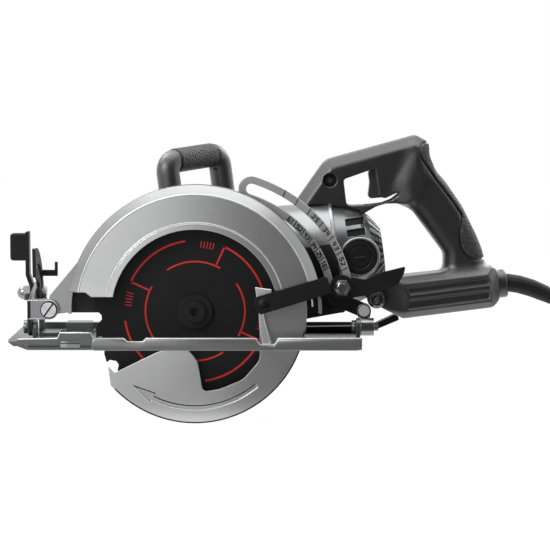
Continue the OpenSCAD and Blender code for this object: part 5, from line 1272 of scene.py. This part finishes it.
def guard_arrow():
    """Sunk arrow for the way the blade turns: a painted highlight on its lower edge and painted shade on its
    upper edge.
    """
    tip = guard_arc(ARROW_R, ARROW_TIP, ARROW_TIP, 1)[0]
    for name, k, material in (("arrow_low", 1, POLISH_AND_HIGHLIGHT), ("arrow_high", -1, INK_AND_SHADE)):
        side = guard_arc(ARROW_R + k * ARROW_HALF, ARROW_TAIL, ARROW_NECK, ARROW_STEPS)
        barb = guard_arc(ARROW_R + k * ARROW_BARB, ARROW_NECK, ARROW_NECK, 1)[0]
        bead(name, side + [barb, tip], LOWER_FACE, ARROW_BEAD, material,
             "lower_guard_body", "guard_aluminium")


def shoe_lines():
    # Painted highlight along the shoe's top edge and painted shade along the toe slot.
    line = TOE_LINE + [(x, RAIL_HIGH - dip) for x, dip in notch_steps()]
    line.append((RAIL_TO - SHOE_BEAD_END, RAIL_HIGH))
    bead("shoe_line", line, RAIL_NEAR - SHOE_BEAD_OUT, SHOE_BEAD, POLISH_AND_HIGHLIGHT, "shoe_body", "shoe_metal")
    bead("slot_line", TOE_SLOT, RAIL_NEAR, TOE_SLOT_BEAD, INK_AND_SHADE, "shoe_body", "shoe_metal")


def clevis_lines():
    turns = [math.radians(90 - 180 * i / CLEVIS_STEPS) for i in range(CLEVIS_STEPS + 1)]
    eye = [(PIVOT.x + CLEVIS_EYE * math.cos(k), PIVOT.y + CLEVIS_EYE * math.sin(k)) for k in turns]
    # A strip of painted shade on the clevis's back and a painted highlight round its eye.
    shade = [[(CLEVIS_BACK + SHADE_IN, PIVOT.y + k * SHADE_HALF) for k in (-1, 1)]]
    settle(strokes("clevis_shade", shade, SHADE_WIDE, lambda a, b: at(a, CLEVIS_FACE - SHADE_LIFT, b), INK_AND_SHADE),
           "tilt_frame", "shoe_metal")
    line = [(CLEVIS_BACK, eye[0][1])] + eye + [(CLEVIS_BACK, eye[-1][1])]
    bead("clevis_line", line, CLEVIS_FACE, CLEVIS_BEAD, POLISH_AND_HIGHLIGHT, "tilt_frame", "shoe_metal")


def edge_lines():
    for line in UPPER_LINES:
        guard_bead("saw_body", *line)
    guard_arrow()
    guard_bead("lower_guard_body", *LOWER_LINE)
    shoe_lines()
    clevis_lines()


# Bevel quadrant: the node's shape without its hook and with painted shade on some faces, and a hook lower
# down as a bent strip

QUADRANT_FACE, HOOK_Y = -142.8, (56.6, 60.6)
HOOK_FROM = QUADRANT_FACE - 0.5
HOOK = [(HOOK_FROM, 58.0), (-128.6, 58.0), (-128.6, 71.0), (-131.2, 71.0), (-131.2, 63.6), (HOOK_FROM, 63.6)]
OLD_HOOK_Z, OLD_HOOK_OUT, ON_FACE, WELD = 0.06, 1e-3, 1e-5, 1e-6
QUADRANT_X, QUADRANT_SHADE_Z, SHADE_FACING = -0.1, 0.05, 0.5


def bevel_quadrant():
    node, face = nodes["bevel_parts"], QUADRANT_FACE * MM

    def on_old_hook(f):
        points = [v.co for v in f.verts]
        ahead = all(p.x > face - ON_FACE and p.z > OLD_HOOK_Z for p in points)
        return ahead and f.calc_center_median().x < 0 and any(p.x > face + OLD_HOOK_OUT for p in points)

    def shaded(c, n):
        near = c.z > QUADRANT_SHADE_Z and n.y < -SHADE_FACING
        return c.x < QUADRANT_X and (near or n.x > SHADE_FACING)

    bm = bmesh.new()
    bm.from_mesh(node.data)
    bm.transform(node.matrix_world)
    bmesh.ops.remove_doubles(bm, verts=bm.verts, dist=WELD)
    bmesh.ops.delete(bm, geom=[f for f in bm.faces if on_old_hook(f)], context="FACES")
    bmesh.ops.holes_fill(bm, edges=[e for e in bm.edges if e.is_boundary])
    trim = mesh_object("bevel_trim", bm, SHOE)
    trim.data.set_sharp_from_angle(angle=0.6)
    # Painted shade: faces at the quadrant's upper front and faces turned to the back get the dark material.
    paint(trim, INK_AND_SHADE, shaded)
    settle(trim, "shoe_body", "shoe_metal", "bevel_parts")
    settle(prism("stop_hook", HOOK, *HOOK_Y, upright, BLACK_STEEL_AND_SHADE), "shoe_body", "shoe_metal")


# Painted shade on faces, in metres: the guards' inside, rim, outer wall and far side, and dark stripes
# between the brush housing's fins

INSIDE_Y, INSIDE_R, INSIDE_FACING = -0.0155, 0.102, 0.5
RIM_R, RIM_FACING, RIM_FLAT, RIM_EAR_X = 0.1045, 0.4, 0.9, -0.1
OUTSIDE_R, OUTSIDE_FACING = 0.112, 0.2
FAR_FACING = 0.5
FIN_STEP, FIN_FROM, FIN_END_FACING = math.radians(7.5), 0.165, 0.95


def shade_guards():
    def reach(c):
        return math.hypot(c.x, c.z - ARBOR_Z * MM)

    def inside(c, n):
        return c.y > INSIDE_Y and n.y < -INSIDE_FACING and reach(c) < INSIDE_R

    def rim(c, n):
        return reach(c) > RIM_R and n.y < -RIM_FACING and (n.y > -RIM_FLAT or c.x < RIM_EAR_X)

    upper = nodes["upper_guard"]
    # Painted shade: the guard's inside faces that turn to the front get near black.
    paint(upper, GUARD_INSIDE_SHADE, inside)
    # Painted shade: rim and ear faces get the darker copy of the guard metal.
    paint(upper, GUARD_PAINTED_SHADE, rim)
    # Painted shade: the upper guard's outer wall gets the darker cast metal.
    paint(upper, CAST_METAL_AND_SHADE, lambda c, n: reach(c) > OUTSIDE_R and abs(n.y) < OUTSIDE_FACING)
    # Painted shade: the lower guard's far side gets the darker copy of the guard metal.
    paint(nodes["lower_guard"], GUARD_PAINTED_SHADE, lambda c, n: n.y > FAR_FACING)


def shade_fins():
    start = motor(0, 0, 0)
    axis = motor(1, 0, 0) - start
    axis.normalize()
    across = axis.cross(Vector((0, 1, 0)))

    def fin_gap_shade(c, n):
        turn = math.atan2(c.y - MOTOR_Y * MM, (c - start).dot(across))
        behind = (c - start).dot(axis) > FIN_FROM and n.dot(axis) < FIN_END_FACING
        return behind and int(math.pi * 4 / FIN_STEP + turn / FIN_STEP) % 2 == 0

    # Painted shade: every other band of facets round the housing's end is dark, for the gaps between fins.
    paint(nodes["brush_housing"], INK_AND_SHADE, fin_gap_shade)


# The scene

dress_nodes()
mains_cord()
add_camera()
add_studio()
rear_handle()
front_handle()
blade_lines()
depth_bracket()
handle_screws()
bevel_lever()
blade_wrench()
shoe_rail()
brush_end()
nut_and_screw()
guard_tab()
edge_lines()
bevel_quadrant()
shade_guards()
shade_fins()
